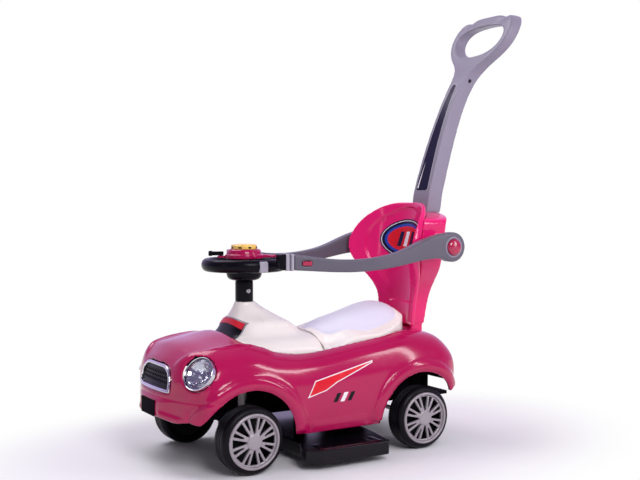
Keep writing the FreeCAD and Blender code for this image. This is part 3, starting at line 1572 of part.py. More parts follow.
def make_guard(name, side):
    """Make one guard arm with its black tip, its latch button and its round pivot cap."""
    whole = guard_solid(side)
    reach = sheet.footrest_half_width
    fore = half_space(
        Vector(sheet.arm_end_x, -reach, 0), Vector(sheet.arm_end_x + reach, reach, sheet.backrest_top),
    )
    root = Vector(-sheet.pivot_x, side * (sheet.pivot_boss_face - sheet.overrun), sheet.pivot_z)
    bore = rod(
        root, root + Vector(0, side * (sheet.arm_width + 2 * sheet.overrun), 0),
        sheet.pivot_radius + sheet.shaft_fit,
    )
    travel = latch_solid(side, sheet.latch_gap).fuse(
        moved(latch_solid(side, sheet.latch_gap), latch_place(side), -side * sheet.latch_travel),
    )
    node(f"guard_arm_{name}", feature(f"guard_arm_{name}", whole.cut([fore, bore, travel])))
    node(f"arm_tip_{name}", feature(f"arm_tip_{name}", whole.common(fore)))
    node(f"latch_button_{name}", feature(f"latch_button_{name}", latch_solid(side, 0)))
    cap = revolved(f"pivot_cap_{name}", (
        ("0", "0"), ("cap_radius", "0"), ("cap_radius", "cap_height - cap_edge"), (
            "cap_radius - cap_edge", "cap_height",
        ),
        ("0", "cap_height"),
    ))
    at = ("-pivot_x", f"{side} * (pivot_boss_face + running_gap + arm_width)", "pivot_z")
    node(f"pivot_cap_{name}", place(cap, at, Rotation(Vector(1, 0, 0), -90 * side)))


def moved(shape, frame, step):
    """Return a shape moved along a placement's own Y axis."""
    copy = shape.copy()
    copy.translate(frame.Rotation.multVec(Vector(0, step, 0)))
    return copy


def handle_curve(depth_share, out):
    """Return a curve's points in the side view, at a share of the depth and moved out of the front."""
    base = Vector(-sheet.handle_base_x, 0, sheet.handle_base_z)
    front = [
        base + Vector(-back_share * sheet.handle_lean_back, 0, up_share * sheet.handle_rise)
        for up_share, back_share in HANDLE_PATH_SHARES
    ]
    points = []
    for index, point in enumerate(front):
        before, after = front[max(index - 1, 0)], front[min(index + 1, len(front) - 1)]
        normal = (after - before).normalize().cross(Vector(0, 1, 0))
        thinning = (sheet.handle_grip_depth - sheet.handle_depth) * index / (len(front) - 1)
        points.append(point + normal * (depth_share * (sheet.handle_depth + thinning) - out))
    return points


def strip(near, far):
    """Return the side-view strip between two curves, swept across the car."""
    wire = Part.Wire([
        open_curve(near), Part.LineSegment(near[-1], far[-1]).toShape(), open_curve(far[::-1]),
        Part.LineSegment(far[0], near[0]).toShape(),
    ])
    wire.translate(Vector(0, -sheet.body_half_width, 0))
    return prism(wire, Vector(0, 2 * sheet.body_half_width, 0))


def handle_height(share):
    """Return the height at a share of the handle's rise."""
    return sheet.handle_base_z + share * sheet.handle_rise


def handle_points(shares, half_width):
    """Return the left half of a handle outline seen from the front."""
    return [
        Vector(0, width_share * half_width, handle_height(up_share)) for up_share, width_share in shares
    ]


def handle_block(wire):
    """Return an outline seen from the front as a block along the car."""
    return prism(wire, Vector(-3 * sheet.body_rear, 0, 0))


def straight_block(half):
    """Return a straight-sided outline, given by its left half, as a block along the car."""
    corners = mirrored(half)
    return handle_block(Part.makePolygon(corners + [corners[0]]))


def make_handle():
    """Make the push handle with its grip, the inlay on its front and its two screws."""
    front, back = handle_curve(0, 0), handle_curve(1, 0)
    bottom = half_space(
        Vector(-3 * sheet.body_rear, -sheet.body_half_width, 0), Vector(
            0, sheet.body_half_width, sheet.handle_base_z,
        ),
    )
    top = Vector(0, 0, handle_height(HANDLE_TOP_SHARE))
    silhouette = mirrored(handle_points(HANDLE_WIDTH_SHARES, sheet.handle_grip_half_width) + [top])
    body = strip(front, back).common(handle_block(capped_curve(silhouette))).cut(bottom)
    low, high = (Vector(0, 0, handle_height(share)) for share in GRIP_OPENING_ENDS_SHARES)
    left = handle_points(GRIP_OPENING_SHARES, sheet.handle_grip_half_width)
    right = [Vector(0, -p.y, p.z) for p in reversed(left)]
    finger_gap = handle_block(closed_curve([low] + left + [high] + right))
    stem = handle_points(HANDLE_STEM_SHARES, sheet.handle_grip_half_width)
    hollow = strip(handle_curve(0, -sheet.wall), handle_curve(1, sheet.wall)).common(straight_block(stem))
    screws = []
    bores = []
    middle = handle_middle(GRIP_SCREW_SHARE)
    for side in SIDES.values():
        head_out = middle + Vector(0, side * (handle_half_width(middle.z) - sheet.grip_screw_set), 0)
        head_in = head_out - Vector(0, side * sheet.grip_screw_length, 0)
        screws.append(rod(head_in, head_out, sheet.grip_screw_radius))
        bores.append(
            rod(
                head_in, head_out + Vector(0, side * sheet.overrun, 0),
                sheet.grip_screw_radius + sheet.press_fit,
            ),
        )
    handle = body.cut(hollow).fuse(tang_solid(0)).cut([finger_gap] + bores)
    node("push_handle", feature("push_handle", handle))
    node("handle_screws", feature("handle_screws", Part.makeCompound(screws)))
    inlay = straight_block(handle_points(INLAY_SHARES, sheet.inlay_half_width))
    node(
        "handle_inlay",
        feature("handle_inlay", inlay.common(strip(handle_curve(0, sheet.inlay_thickness), front))),
    )


def handle_middle(share):
    """Return the middle of the handle's depth at a share of its rise."""
    points = handle_curve(MIDDLE_SHARE, 0)
    z = handle_height(share)
    before, after = next((a, b) for a, b in zip(points, points[1:]) if a.z <= z <= b.z)
    return before + (after - before) * ((z - before.z) / (after.z - before.z))


def handle_half_width(z):
    """Return the handle's half width at a height, between its outline's points."""
    share = (z - sheet.handle_base_z) / sheet.handle_rise
    for (low, low_width), (high, high_width) in zip(HANDLE_WIDTH_SHARES, HANDLE_WIDTH_SHARES[1:]):
        if low <= share <= high:
            return sheet.handle_grip_half_width * (
                low_width + (high_width - low_width) * (share - low) / (high - low)
            )
    return sheet.handle_grip_half_width


def write_nodes():
    """Check every object and each piece's shape, then write the pieces."""
    document.recompute()
    for item in document.Objects:
        if "Invalid" in item.State or "Error" in item.State:
            raise RuntimeError(f"{item.Name} failed: {item.State}")
    for item in nodes:
        if item.Shape.isNull() or not item.Shape.isValid() or not item.Shape.Solids:
            raise RuntimeError(f"{item.Label} has no valid solid")
    os.makedirs("parts", exist_ok=True)
    for item in nodes:
        item.Shape.exportStep(f"parts/{item.Label}.step")
        print(f"{item.Label}: {len(item.Shape.Solids)} solids, {item.Shape.Volume:.0f} mm3")


def main():
    """Build every piece of the push car."""
    fill_sheet()
    make_chassis_frame()
    make_chassis_screws()
    make_rear_axle()
    make_tie_link()
    make_footrest()
    make_body_shell()
    make_grille_and_plate()
    make_headlights()
    make_cowl()
    make_seat()
    make_steering()
    make_horn()
    make_backrest()
    make_handle()
    for name, side in SIDES.items():
        make_knuckle(name, side)
        make_guard(name, side)
        make_tyre(f"front_{name}", 1, side)
        make_hubcap(f"front_{name}", 1, side)
        make_tyre(f"rear_{name}", -1, side)
        make_hubcap(f"rear_{name}", -1, side)
    write_nodes()


main()
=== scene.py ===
"""Looks of a push car with a parent handle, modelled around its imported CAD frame.

The scene is in metres in the CAD's frame: +X forward, +Y left, +Z up, the ground at zero.
Sizes in the classes are in millimetres and are turned to metres where a mesh is made.
"""

import json
import logging
import math
from collections.abc import Callable, Iterator, Sequence
from contextlib import contextmanager
from dataclasses import dataclass
from enum import Enum
from functools import cache
from typing import Any

import bmesh
import bpy
from bpy.types import Material, Node, NodeTree, Object
from mathutils import Matrix, Vector

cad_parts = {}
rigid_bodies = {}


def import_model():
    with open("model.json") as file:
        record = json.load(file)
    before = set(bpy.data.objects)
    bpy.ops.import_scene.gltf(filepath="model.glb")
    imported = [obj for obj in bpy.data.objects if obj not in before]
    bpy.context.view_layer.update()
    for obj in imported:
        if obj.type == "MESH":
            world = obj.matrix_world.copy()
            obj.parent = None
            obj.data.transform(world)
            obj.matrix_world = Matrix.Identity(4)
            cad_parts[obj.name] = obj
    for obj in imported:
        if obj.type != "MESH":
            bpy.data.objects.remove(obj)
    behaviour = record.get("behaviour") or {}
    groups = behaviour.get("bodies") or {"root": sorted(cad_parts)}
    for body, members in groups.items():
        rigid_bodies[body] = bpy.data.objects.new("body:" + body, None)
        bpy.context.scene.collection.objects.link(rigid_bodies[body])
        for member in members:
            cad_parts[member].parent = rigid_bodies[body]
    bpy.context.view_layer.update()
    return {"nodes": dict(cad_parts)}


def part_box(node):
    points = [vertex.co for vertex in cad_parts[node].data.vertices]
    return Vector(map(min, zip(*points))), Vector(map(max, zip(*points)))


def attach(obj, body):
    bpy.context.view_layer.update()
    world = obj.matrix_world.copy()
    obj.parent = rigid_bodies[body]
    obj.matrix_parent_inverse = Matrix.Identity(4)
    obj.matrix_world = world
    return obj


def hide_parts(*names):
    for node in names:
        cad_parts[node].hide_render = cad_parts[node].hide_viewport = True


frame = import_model()

MM = 0.001
LOG = logging.getLogger("push_car")
Outline = Sequence[tuple[float, float]]
Profile = Sequence[tuple[float, ...]]
Box = tuple[tuple[float, float, float], tuple[float, float, float]]

# Distances in metres under which corners are one, in a new mesh and in a CAD node's triangles,
# and under which a corner is at a place.
MERGE = 0.002 * MM
CAD_MERGE = 0.005 * MM
TOUCH = 0.01 * MM
# How far one pass of smoothing pulls a corner to its neighbours' middle.
EVEN = 0.5
# The angle in degrees above which a softened piece keeps an edge sharp.
SOFT = 80.0
# Sides of a large turned piece, and corners of an oval.
FINE = 96
OVAL_CORNERS = 72
# A label's cells, the distance that it is drawn at before it is laid on, and how far it reaches
# into its carrier, in millimetres.
LABEL_CELL = 6.0
LABEL_START = 400.0
LABEL_SINK = 0.05
# The range that noise mostly stays in, the pointiness of an edge that hands rub, and how much
# of the rubbed tone it shows.
NOISE_RANGE = (0.3, 0.7)
EDGE_RANGE = (0.54, 0.68)
EDGE_SHARE = 0.6


class Side(Enum):
    """The two sides of the car, with the sign of their Y."""

    LEFT = 1
    RIGHT = -1

    @property
    def word(self) -> str:
        """Return the side's name as the CAD nodes spell it."""
        return self.name.lower()

    @property
    def outward(self) -> Matrix:
        """Return the turn that points the top of a turned piece to this side."""
        return Matrix.Rotation(-self.value * math.pi / 2, 3, "X")


class Axis(Enum):
    """The direction that a label is laid on along."""

    X = Vector((1, 0, 0))
    Y = Vector((0, 1, 0))
    Z = Vector((0, 0, 1))


# Modelling by hand: selecting, editing, finishing


def take(*pieces: Object) -> None:
    """Select only these pieces and make the first one active.

    Args:
        pieces: What to select.
    """
    if bpy.context.mode != "OBJECT":
        bpy.ops.object.mode_set(mode="OBJECT")
    bpy.ops.object.select_all(action="DESELECT")
    for piece in pieces:
        piece.select_set(True)
    bpy.context.view_layer.objects.active = pieces[0]


@contextmanager
def editing(piece: Object, mode: str = "FACE") -> Iterator[None]:
    """Open a piece in edit mode with nothing selected, and close it again.

    Args:
        piece: The mesh to edit.
        mode: VERT, EDGE or FACE.
    """
    take(piece)
    bpy.ops.object.mode_set(mode="EDIT")
    bpy.ops.mesh.select_mode(type=mode)
    bpy.ops.mesh.select_all(action="DESELECT")
    yield
    bpy.ops.object.mode_set(mode="OBJECT")


def pick(piece: Object, mode: str, test: Callable[[Any], bool]) -> None:
    """Select the corners, edges or faces of the edited piece that pass a test.

    Args:
        piece: The piece in edit mode.
        mode: VERT, EDGE or FACE.
        test: Says whether one of them is selected.
    """
    bpy.ops.mesh.select_mode(type=mode)
    bpy.ops.mesh.select_all(action="DESELECT")
    mesh = bmesh.from_edit_mesh(piece.data)
    for part in {"VERT": mesh.verts, "EDGE": mesh.edges, "FACE": mesh.faces}[mode]:
        if test(part):
            part.select_set(True)
    mesh.select_flush_mode()
    bmesh.update_edit_mesh(piece.data)


def modify(piece: Object, kind: str, **settings: Any) -> None:
    """Add a modifier to a piece and apply it.

    Args:
        piece: The mesh.
        kind: The modifier's type.
        settings: Its settings by name.
    """
    take(piece)
    modifier = piece.modifiers.new(kind.title(), kind)
    for name, setting in settings.items():
        setattr(modifier, name, setting)
    bpy.ops.object.modifier_apply(modifier=modifier.name)


def settle(piece: Object, at: Vector, turn: Matrix | None = None) -> Object:
    """Turn and move a piece, and put its place into its mesh.

    Args:
        piece: The mesh, modelled about the origin.
        at: Where its origin goes, in millimetres.
        turn: How it is turned first.

    Returns:
        The piece.
    """
    piece.matrix_world = Matrix.Translation(at * MM) @ (turn or Matrix.Identity(3)).to_4x4()
    take(piece)
    bpy.ops.object.transform_apply(location=True, rotation=True, scale=True)
    return piece


def twin(piece: Object, name: str) -> Object:
    """Copy a piece.

    Args:
        piece: The piece.
        name: The copy's name.

    Returns:
        The copy, with a mesh of its own.
    """
    copy = bpy.data.objects.new(name, piece.data.copy())
    bpy.context.scene.collection.objects.link(copy)
    return copy


def joined(name: str, *pieces: Object) -> Object:
    """Join several meshes.

    Args:
        name: The joined piece's name.
        pieces: The meshes.

    Returns:
        The first of them, which now holds them all.
    """
    take(*pieces)
    bpy.ops.object.join()
    pieces[0].name = name
    return pieces[0]


def clean(piece: Object) -> None:
    """Merge a mesh's doubles and point its faces outwards.

    Args:
        piece: The mesh.
    """
    with editing(piece, "VERT"):
        bpy.ops.mesh.select_all(action="SELECT")
        bpy.ops.mesh.remove_doubles(threshold=MERGE)
        bpy.ops.mesh.normals_make_consistent(inside=False)


def drawn(name: str, points: Sequence[Vector]) -> Object:
    """Draw a line of edges from corner to corner, starting from one corner of a small plane.

    Args:
        name: The new object's name.
        points: The corners in millimetres.

    Returns:
        A mesh of edges.
    """
    bpy.ops.object.select_all(action="DESELECT")
    bpy.ops.mesh.primitive_plane_add(size=2 * MM)
    piece = bpy.context.object
    piece.name = name
    with editing(piece, "VERT"):
        pick(piece, "VERT", lambda corner: corner.co.x < 0 or corner.co.y < 0)
        bpy.ops.mesh.delete(type="VERT")
        bpy.ops.mesh.select_all(action="SELECT")
        bpy.ops.transform.translate(value=points[0] * MM - Vector((MM, MM, 0)))
        for before, after in zip(points, points[1:]):
            step = (after - before) * MM
            bpy.ops.mesh.extrude_vertices_move(TRANSFORM_OT_translate={"value": step})
    return piece


def turned(name: str, profile: Profile, steps: int = 64) -> Object:
    """Turn a profile about the Z axis, with its named corners rounded first.

    Args:
        name: The new object's name.
        profile: Radius, height and, where the corner is rounded, its rounding, in millimetres.
        steps: How many sides the turned piece has.

    Returns:
        A closed mesh about the Z axis.
    """
    piece = drawn(name, [Vector((corner[0], 0, corner[1])) for corner in profile])
    with editing(piece, "VERT"):
        for radius, height, rounding in (corner for corner in profile if len(corner) > 2):
            place = Vector((radius, 0, height)) * MM
            pick(piece, "VERT", lambda corner: (corner.co - place).length < TOUCH)
            bpy.ops.mesh.bevel(
                offset=rounding * MM, segments=4, affect="VERTICES", offset_type="OFFSET"
            )
        bpy.ops.mesh.select_all(action="SELECT")
        bpy.ops.mesh.spin(steps=steps, angle=math.tau, center=(0, 0, 0), axis=(0, 0, 1))
    clean(piece)
    return piece


def block(name: str, box: Box, rounding: float, segments: int = 3) -> Object:
    """Model a box with rounded edges between two corners.

    Args:
        name: The new object's name.
        box: The lowest and the highest corner in millimetres.
        rounding: The edges' rounding in millimetres.
        segments: How many faces round an edge.

    Returns:
        A closed mesh.
    """
    low, high = Vector(box[0]), Vector(box[1])
    bpy.ops.object.select_all(action="DESELECT")
    bpy.ops.mesh.primitive_cube_add(size=1, location=(low + high) / 2 * MM)
    piece = bpy.context.object
    piece.name = name
    piece.scale = (high - low) * MM
    bpy.ops.object.transform_apply(location=True, rotation=True, scale=True)
    with editing(piece, "EDGE"):
        bpy.ops.mesh.select_all(action="SELECT")
        bpy.ops.mesh.bevel(offset=rounding * MM, segments=segments, affect="EDGES")
    return piece


def cad_copy(node: str, name: str) -> Object:
    """Copy a CAD node and merge the copy's loose triangles.

    Args:
        node: The CAD node.
        name: The copy's name.

    Returns:
        The copy, with no material.
    """
    piece = twin(frame["nodes"][node], name)
    piece.data.materials.clear()
    take(piece)
    bpy.ops.mesh.customdata_custom_splitnormals_clear()
    with editing(piece, "VERT"):
        bpy.ops.mesh.select_all(action="SELECT")
        bpy.ops.mesh.remove_doubles(threshold=CAD_MERGE)
    return piece


def softened(piece: Object, voxel: float, passes: int) -> Object:
    """Round a solid mesh's edges as a mould does, by an even mesh that is then smoothed.

    Args:
        piece: A closed mesh.
        voxel: The even mesh's spacing in millimetres.
        passes: How often it is smoothed.

    Returns:
        The piece.
    """
    modify(piece, "REMESH", mode="VOXEL", voxel_size=voxel * MM, use_smooth_shade=True)
    modify(piece, "SMOOTH", factor=EVEN, iterations=passes)
    return piece


def moulded(node: str, name: str, voxel: float, passes: int) -> Object:
    """Return a copy of a CAD node with its edges rounded as a mould does."""
    return softened(cad_copy(node, name), voxel, passes)


def eased(piece: Object, passes: int, weight: Callable[[Vector], float]) -> None:
    """Smooth a part of a mesh.

    Args:
        piece: The mesh.
        passes: How often it is smoothed.
        weight: Gives a corner's share of the smoothing from its place in millimetres.
    """
    group = piece.vertex_groups.new(name="eased")
    for corner in piece.data.vertices:
        group.add([corner.index], weight(corner.co / MM), "REPLACE")
    modify(piece, "SMOOTH", factor=EVEN, iterations=passes, vertex_group=group.name)


def sculpt(piece: Object, move: Callable[[Vector, Vector], Vector]) -> None:
    """Push a mesh's corners about as with a soft brush.

    Args:
        piece: The mesh.
        move: Gives a corner's move in metres from its place in millimetres and its normal.
    """
    normals = [corner.normal.copy() for corner in piece.data.vertices]
    for corner, normal in zip(piece.data.vertices, normals):
        corner.co += move(corner.co / MM, normal)


def ramp(value: float, start: float, end: float) -> float:
    """Return 0 before the start, 1 after the end and a soft step between them."""
    share = min(max((value - start) / (end - start), 0.0), 1.0)
    return share * share * (3 - 2 * share)


def fall(value: float, start: float, end: float) -> float:
    """Return 1 before the start, 0 after the end and a soft step between them."""
    return ramp(-value, -end, -start)


def bell(value: float, middle: float, width: float) -> float:
    """Return 1 at the middle, falling off softly over a width."""
    return math.exp(-((value - middle) / width) ** 2)


def inset(outline: Outline, width: float) -> list[tuple[float, float]]:
    """Return an outline drawn a width inside another.

    Args:
        outline: Corners, anticlockwise.
        width: How far inside it lies.

    Returns:
        The new outline's corners.
    """
    corners = [Vector(corner) for corner in outline]
    inner = []
    befores, afters = corners[-1:] + corners[:-1], corners[1:] + corners[:1]
    for before, corner, after in zip(befores, corners, afters):
        come, leave = (corner - before).normalized(), (after - corner).normalized()
        inward = Vector((-come.y - leave.y, come.x + leave.x))
        inner.append(tuple(corner + inward * (width / (1 + come.dot(leave)))))
    return inner


def oval(half_width: float, half_height: float, z: float) -> list[tuple[float, float]]:
    """Return an oval outline about a height."""
    angles = [math.tau * step / OVAL_CORNERS for step in range(OVAL_CORNERS)]
    return [(half_width * math.cos(a), z + half_height * math.sin(a)) for a in angles]


def label(
    name: str, outline: Outline, axis: Axis, towards: int, carrier: Object, lift: float,
) -> Object:
    """Model a thin printed label that lies on a curved carrier.

    Args:
        name: The new object's name.
        outline: Its corners in the plane across the axis, in millimetres.
        axis: The direction that it is laid on along.
        towards: The sign of that direction.
        carrier: The mesh it lies on.
        lift: How far its face stands off the carrier, in millimetres.

    Returns:
        A closed thin mesh.
    """
    across = Vector((0, 1, 0)) if axis is Axis.X else Vector((1, 0, 0))
    away = axis.value * -towards
    up = Axis.Z.value
    spots = [away * LABEL_START + across * first + up * second for first, second in outline]
    piece = drawn(name, [*spots, spots[0]])
    with editing(piece, "VERT"):
        bpy.ops.mesh.select_all(action="SELECT")
        bpy.ops.mesh.remove_doubles(threshold=TOUCH)
        bpy.ops.mesh.edge_face_add()
        for direction in (across, up):
            cells = [direction.dot(spot) / LABEL_CELL for spot in spots]
            for step in range(math.ceil(min(cells)), math.floor(max(cells)) + 1):
                cut = direction * (step * LABEL_CELL * MM)
                bpy.ops.mesh.select_all(action="SELECT")
                bpy.ops.mesh.bisect(plane_co=cut, plane_no=direction)
        bpy.ops.mesh.select_all(action="SELECT")
        bpy.ops.mesh.quads_convert_to_tris()
        if bmesh.from_edit_mesh(piece.data).faces[:][0].normal.dot(away) < 0:
            bpy.ops.mesh.flip_normals()
        pick(piece, "VERT", lambda corner: not carrier.ray_cast(corner.co, -away)[0])
        bpy.ops.mesh.delete(type="VERT")
    modify(
        piece, "SHRINKWRAP", target=carrier, wrap_method="PROJECT", use_project_x=axis is Axis.X,
        use_project_y=axis is Axis.Y, use_negative_direction=towards < 0,
        use_positive_direction=towards > 0, offset=lift * MM,
    )
    modify(piece, "SOLIDIFY", thickness=(lift + LABEL_SINK) * MM, offset=-1.0)
    return piece


# Materials


def linear(colour: str) -> tuple[float, float, float, float]:
    """Turn an sRGB hex colour to linear light.

    Args:
        colour: The colour, such as #FF8000.

    Returns:
        Its red, green, blue and alpha.
    """
    shares = [int(colour[place:place + 2], 16) / 255 for place in (1, 3, 5)]
    bright = [s / 12.92 if s <= 0.04045 else ((s + 0.055) / 1.055) ** 2.4 for s in shares]
    return (*bright, 1.0)


def add(
    tree: NodeTree, kind: str, inputs: dict[Any, Any] | None = None, **settings: Any
) -> Node:
    """Add a node with its settings, values and links.

    Args:
        tree: The node tree.
        kind: The node's type after ShaderNode.
        inputs: Values or linked sockets by input name or number.
        settings: The node's own settings by name.

    Returns:
        The node.
    """
    node = tree.nodes.new(f"ShaderNode{kind}")
    for name, setting in settings.items():
        setattr(node, name, setting)
    for name, given in (inputs or {}).items():
        if isinstance(given, bpy.types.NodeSocket):
            tree.links.new(given, node.inputs[name])
        else:
            node.inputs[name].default_value = given
    return node


def blank(name: str) -> tuple[Material, NodeTree]:
    """Start a material.

    Args:
        name: Its name.

    Returns:
        The material and its emptied node tree.
    """
    material = bpy.data.materials.new(name)
    material.use_nodes = True
    material.node_tree.nodes.clear()
    return material, material.node_tree


@dataclass(frozen=True)
class Moulding:
    """A moulded plastic with its mould grain, cloudy colour and rubbed edges.

    Attributes:
        name: The real material and how its surface was made.
        colour: Its colour.
        shade: The slightly deeper tone that clouds through it.
        rubbed: The tone of its handled edges.
        roughness: How dull it is.
        grain_mm: Spacing of the mould grain or orange peel.
        grain: How strongly the grain shows.
        cloud_mm: Size of the clouds of colour.
        coat: Share of the clear gloss skin.
        metallic: Share of metal flake.
        specular: Strength of its mirror-like share, 0.5 for a clean plastic.
    """

    name: str
    colour: str
    shade: str
    rubbed: str
    roughness: float
    grain_mm: float
    grain: float
    cloud_mm: float = 60.0
    coat: float = 0.0
    metallic: float = 0.0
    specular: float = 0.5

    def build(self) -> Material:
        """Build the finish from nodes.

        Returns:
            The material.
        """
        material, tree = blank(self.name)
        place = add(tree, "TexCoord").outputs["Object"]
        cloud = add(tree, "TexNoise", {
            "Vector": place, "Scale": 1 / (self.cloud_mm * MM), "Detail": 3.0,
        })
        tone = add(tree, "Mix", {
            0: cloud.outputs[0], 6: linear(self.shade), 7: linear(self.colour),
        }, data_type="RGBA")
        edge = add(tree, "MapRange", {
            "Value": add(tree, "NewGeometry").outputs["Pointiness"],
            "From Min": EDGE_RANGE[0], "From Max": EDGE_RANGE[1],
            "To Min": 0.0, "To Max": EDGE_SHARE,
        })
        colour = add(tree, "Mix", {
            0: edge.outputs[0], 6: tone.outputs[2], 7: linear(self.rubbed),
        }, data_type="RGBA")
        grain = add(tree, "TexNoise", {
            "Vector": place, "Scale": 1 / (self.grain_mm * MM), "Detail": 2.0,
        })
        dullness = add(tree, "MapRange", {
            "Value": cloud.outputs[0], "From Min": NOISE_RANGE[0], "From Max": NOISE_RANGE[1],
            "To Min": self.roughness * 0.85, "To Max": self.roughness * 1.15,
        })
        relief = add(tree, "Bump", {
            "Height": grain.outputs[0], "Strength": self.grain,
            "Distance": self.grain_mm * 0.1 * MM,
        })
        surface = add(tree, "BsdfPrincipled", {
            "Base Color": colour.outputs[2], "Roughness": dullness.outputs[0],
            "Metallic": self.metallic, "IOR": 1.5, "Specular IOR Level": self.specular,
            "Coat Weight": self.coat, "Coat Roughness": 0.08, "Normal": relief.outputs[0],
        })
        add(tree, "OutputMaterial", {"Surface": surface.outputs[0]})
        return material


@dataclass(frozen=True)
class Metal:
    """A bare or plated metal face with fine marks.

    Attributes:
        name: The real material and how its surface was made.
        colour: Its colour.
        shade: The tone of its duller marks.
        roughness: How dull it is.
        mark_mm: Spacing of the marks.
        mark: How strongly they show.
    """

    name: str
    colour: str
    shade: str
    roughness: float
    mark_mm: float
    mark: float

    def build(self) -> Material:
        """Build the finish from nodes.

        Returns:
            The material.
        """
        material, tree = blank(self.name)
        place = add(tree, "TexCoord").outputs["Object"]
        marks = add(tree, "TexNoise", {
            "Vector": place, "Scale": 1 / (self.mark_mm * MM), "Detail": 3.0,
        })
        tone = add(tree, "Mix", {
            0: marks.outputs[0], 6: linear(self.shade), 7: linear(self.colour),
        }, data_type="RGBA")
        dullness = add(tree, "MapRange", {
            "Value": marks.outputs[0], "From Min": NOISE_RANGE[0], "From Max": NOISE_RANGE[1],
            "To Min": self.roughness * 0.7, "To Max": self.roughness * 1.3,
        })
        relief = add(tree, "Bump", {
            "Height": marks.outputs[0], "Strength": self.mark,
            "Distance": self.mark_mm * 0.05 * MM,
        })
        surface = add(tree, "BsdfPrincipled", {
            "Base Color": tone.outputs[2], "Roughness": dullness.outputs[0], "Metallic": 1.0,
            "Normal": relief.outputs[0],
        })
        add(tree, "OutputMaterial", {"Surface": surface.outputs[0]})
        return material


@dataclass(frozen=True)
class ClearMoulding:
    """Clear moulded acrylic with a faint wave in its face.

    Attributes:
        name: The real material and how its surface was made.
        colour: Its slight tint.
        wave_mm: Spacing of the wave that the mould leaves.
    """

    name: str
    colour: str
    wave_mm: float

    def build(self) -> Material:
        """Build the finish from nodes.

        Returns:
            The material.
        """
        material, tree = blank(self.name)
        place = add(tree, "TexCoord").outputs["Object"]
        wave = add(tree, "TexNoise", {
            "Vector": place, "Scale": 1 / (self.wave_mm * MM), "Detail": 1.0,
        })
        relief = add(tree, "Bump", {
            "Height": wave.outputs[0], "Strength": 0.05, "Distance": 0.1 * MM,
        })
        surface = add(tree, "BsdfPrincipled", {
            "Base Color": linear(self.colour), "Roughness": 0.03, "IOR": 1.49,
            "Transmission Weight": 1.0, "Normal": relief.outputs[0],
        })
        add(tree, "OutputMaterial", {"Surface": surface.outputs[0]})
        return material


Finish = Moulding | Metal | ClearMoulding

# Blow-moulded polyethylene dyed in the mass: a deep pink with a wet gloss and a soft orange peel.
BODY_PLASTIC = Moulding(
    "PE_gloss_moulded_magenta", "#B00B50", "#A40848", "#BC2864",
    0.16, 5.0, 0.05, 90, coat=0.3, specular=0.32,
)
# Injection-moulded ABS from a polished tool: brighter pink, sharp mirror-like highlights.
BACK_PLASTIC = Moulding(
    "ABS_polished_moulded_pink", "#EA1C74", "#DE186B", "#F04A8E",
    0.1, 6.0, 0.03, 90, specular=0.4,
)
# White ABS with a warm cast, polished but handled, so its gloss is a little broken.
WHITE_PLASTIC = Moulding(
    "ABS_gloss_moulded_white", "#F0E8E6", "#E8DDDC", "#F4EFED",
    0.26, 4.0, 0.05, 80, specular=0.4,
)
# The saddle's textured face: spark-eroded tool grain, drawn 1.6 mm wide so that it shows. Its
# lavender tone is painted light: the white plastic as the cool light from above shows it on
# up-facing faces.
SEAT_PLASTIC = Moulding(
    "ABS_grained_moulded_lavender", "#E2DDF0", "#D9D3EA", "#EFEAF6", 0.5, 1.6, 0.25, 70,
)
# Polypropylene from a sandblasted tool: grey, satin, edges polished by hands.
# The real 0.3 mm grain is drawn at 1.2 mm so that it shows.
GREY_PLASTIC = Moulding(
    "PP_satin_moulded_grey", "#615C6A", "#57525F", "#746F7D",
    0.36, 1.2, 0.2, 70, specular=0.4,
)
# The handle's polypropylene is a lighter, more violet grey from the same kind of tool.
HANDLE_PLASTIC = Moulding(
    "PP_satin_moulded_lavender_grey", "#8E8699", "#847C8F", "#9891A3",
    0.36, 1.2, 0.04, 80, specular=0.3,
)
# Thin ribs and outlines of pale grey polypropylene.
PALE_PLASTIC = Moulding(
    "PP_satin_moulded_pale_grey", "#A8A3B0", "#9B96A3", "#BCB8C3",
    0.34, 1.2, 0.08, 40, specular=0.4,
)
# Black polypropylene, satin, faintly violet in the light. Its grain is drawn coarser as well.
BLACK_PLASTIC = Moulding(
    "PP_satin_moulded_black", "#0F0C16", "#0B0911", "#1E1A27",
    0.26, 1.2, 0.05, 60, specular=0.1,
)
# Dull black polypropylene of the undercarriage: it stays dark at a flat angle.
# It is also painted shade: the shell's inside and the rear backrest half's foot are given it for
# the dark in the wheel arches.
DULL_BLACK = Moulding(
    "PP_dull_moulded_black", "#0D0A12", "#09070D", "#1B1720",
    0.8, 1.5, 0.1, 60, specular=0.04,
)
# Polished black polypropylene of the footrest and the grille: a wet edge light on a brown-black.
GLOSS_BLACK = Moulding(
    "PP_gloss_moulded_black", "#0E0A12", "#0A070D", "#221B26",
    0.18, 3.0, 0.04, 60, specular=0.26,
)
# Hard blow-moulded tyre plastic: dull black with a scuffed, greyer tread.
TYRE_PLASTIC = Moulding(
    "HDPE_moulded_tyre_black", "#110D14", "#0C090F", "#221E27",
    0.4, 1.5, 0.3, 25, specular=0.14,
)
# Silver paint with fine flake on ABS. The flake is drawn at 0.9 mm so that it shows.
SILVER_PAINT = Moulding(
    "ABS_silver_painted", "#A69DA4", "#978F96", "#BBB4BA",
    0.36, 0.9, 0.1, 15, coat=0.1, metallic=0.35,
)
# Buttons and caps of polished ABS in a redder pink.
BUTTON_RED = Moulding(
    "ABS_polished_moulded_red", "#B01C4A", "#A01642", "#C84A70",
    0.2, 4.0, 0.06, 20, coat=0.4,
)
# Horn button of polished ABS in a warm yellow.
BUTTON_YELLOW = Moulding(
    "ABS_polished_moulded_yellow", "#F7CF6A", "#EFC057", "#FBE2A0",
    0.22, 4.0, 0.06, 25, coat=0.3,
)
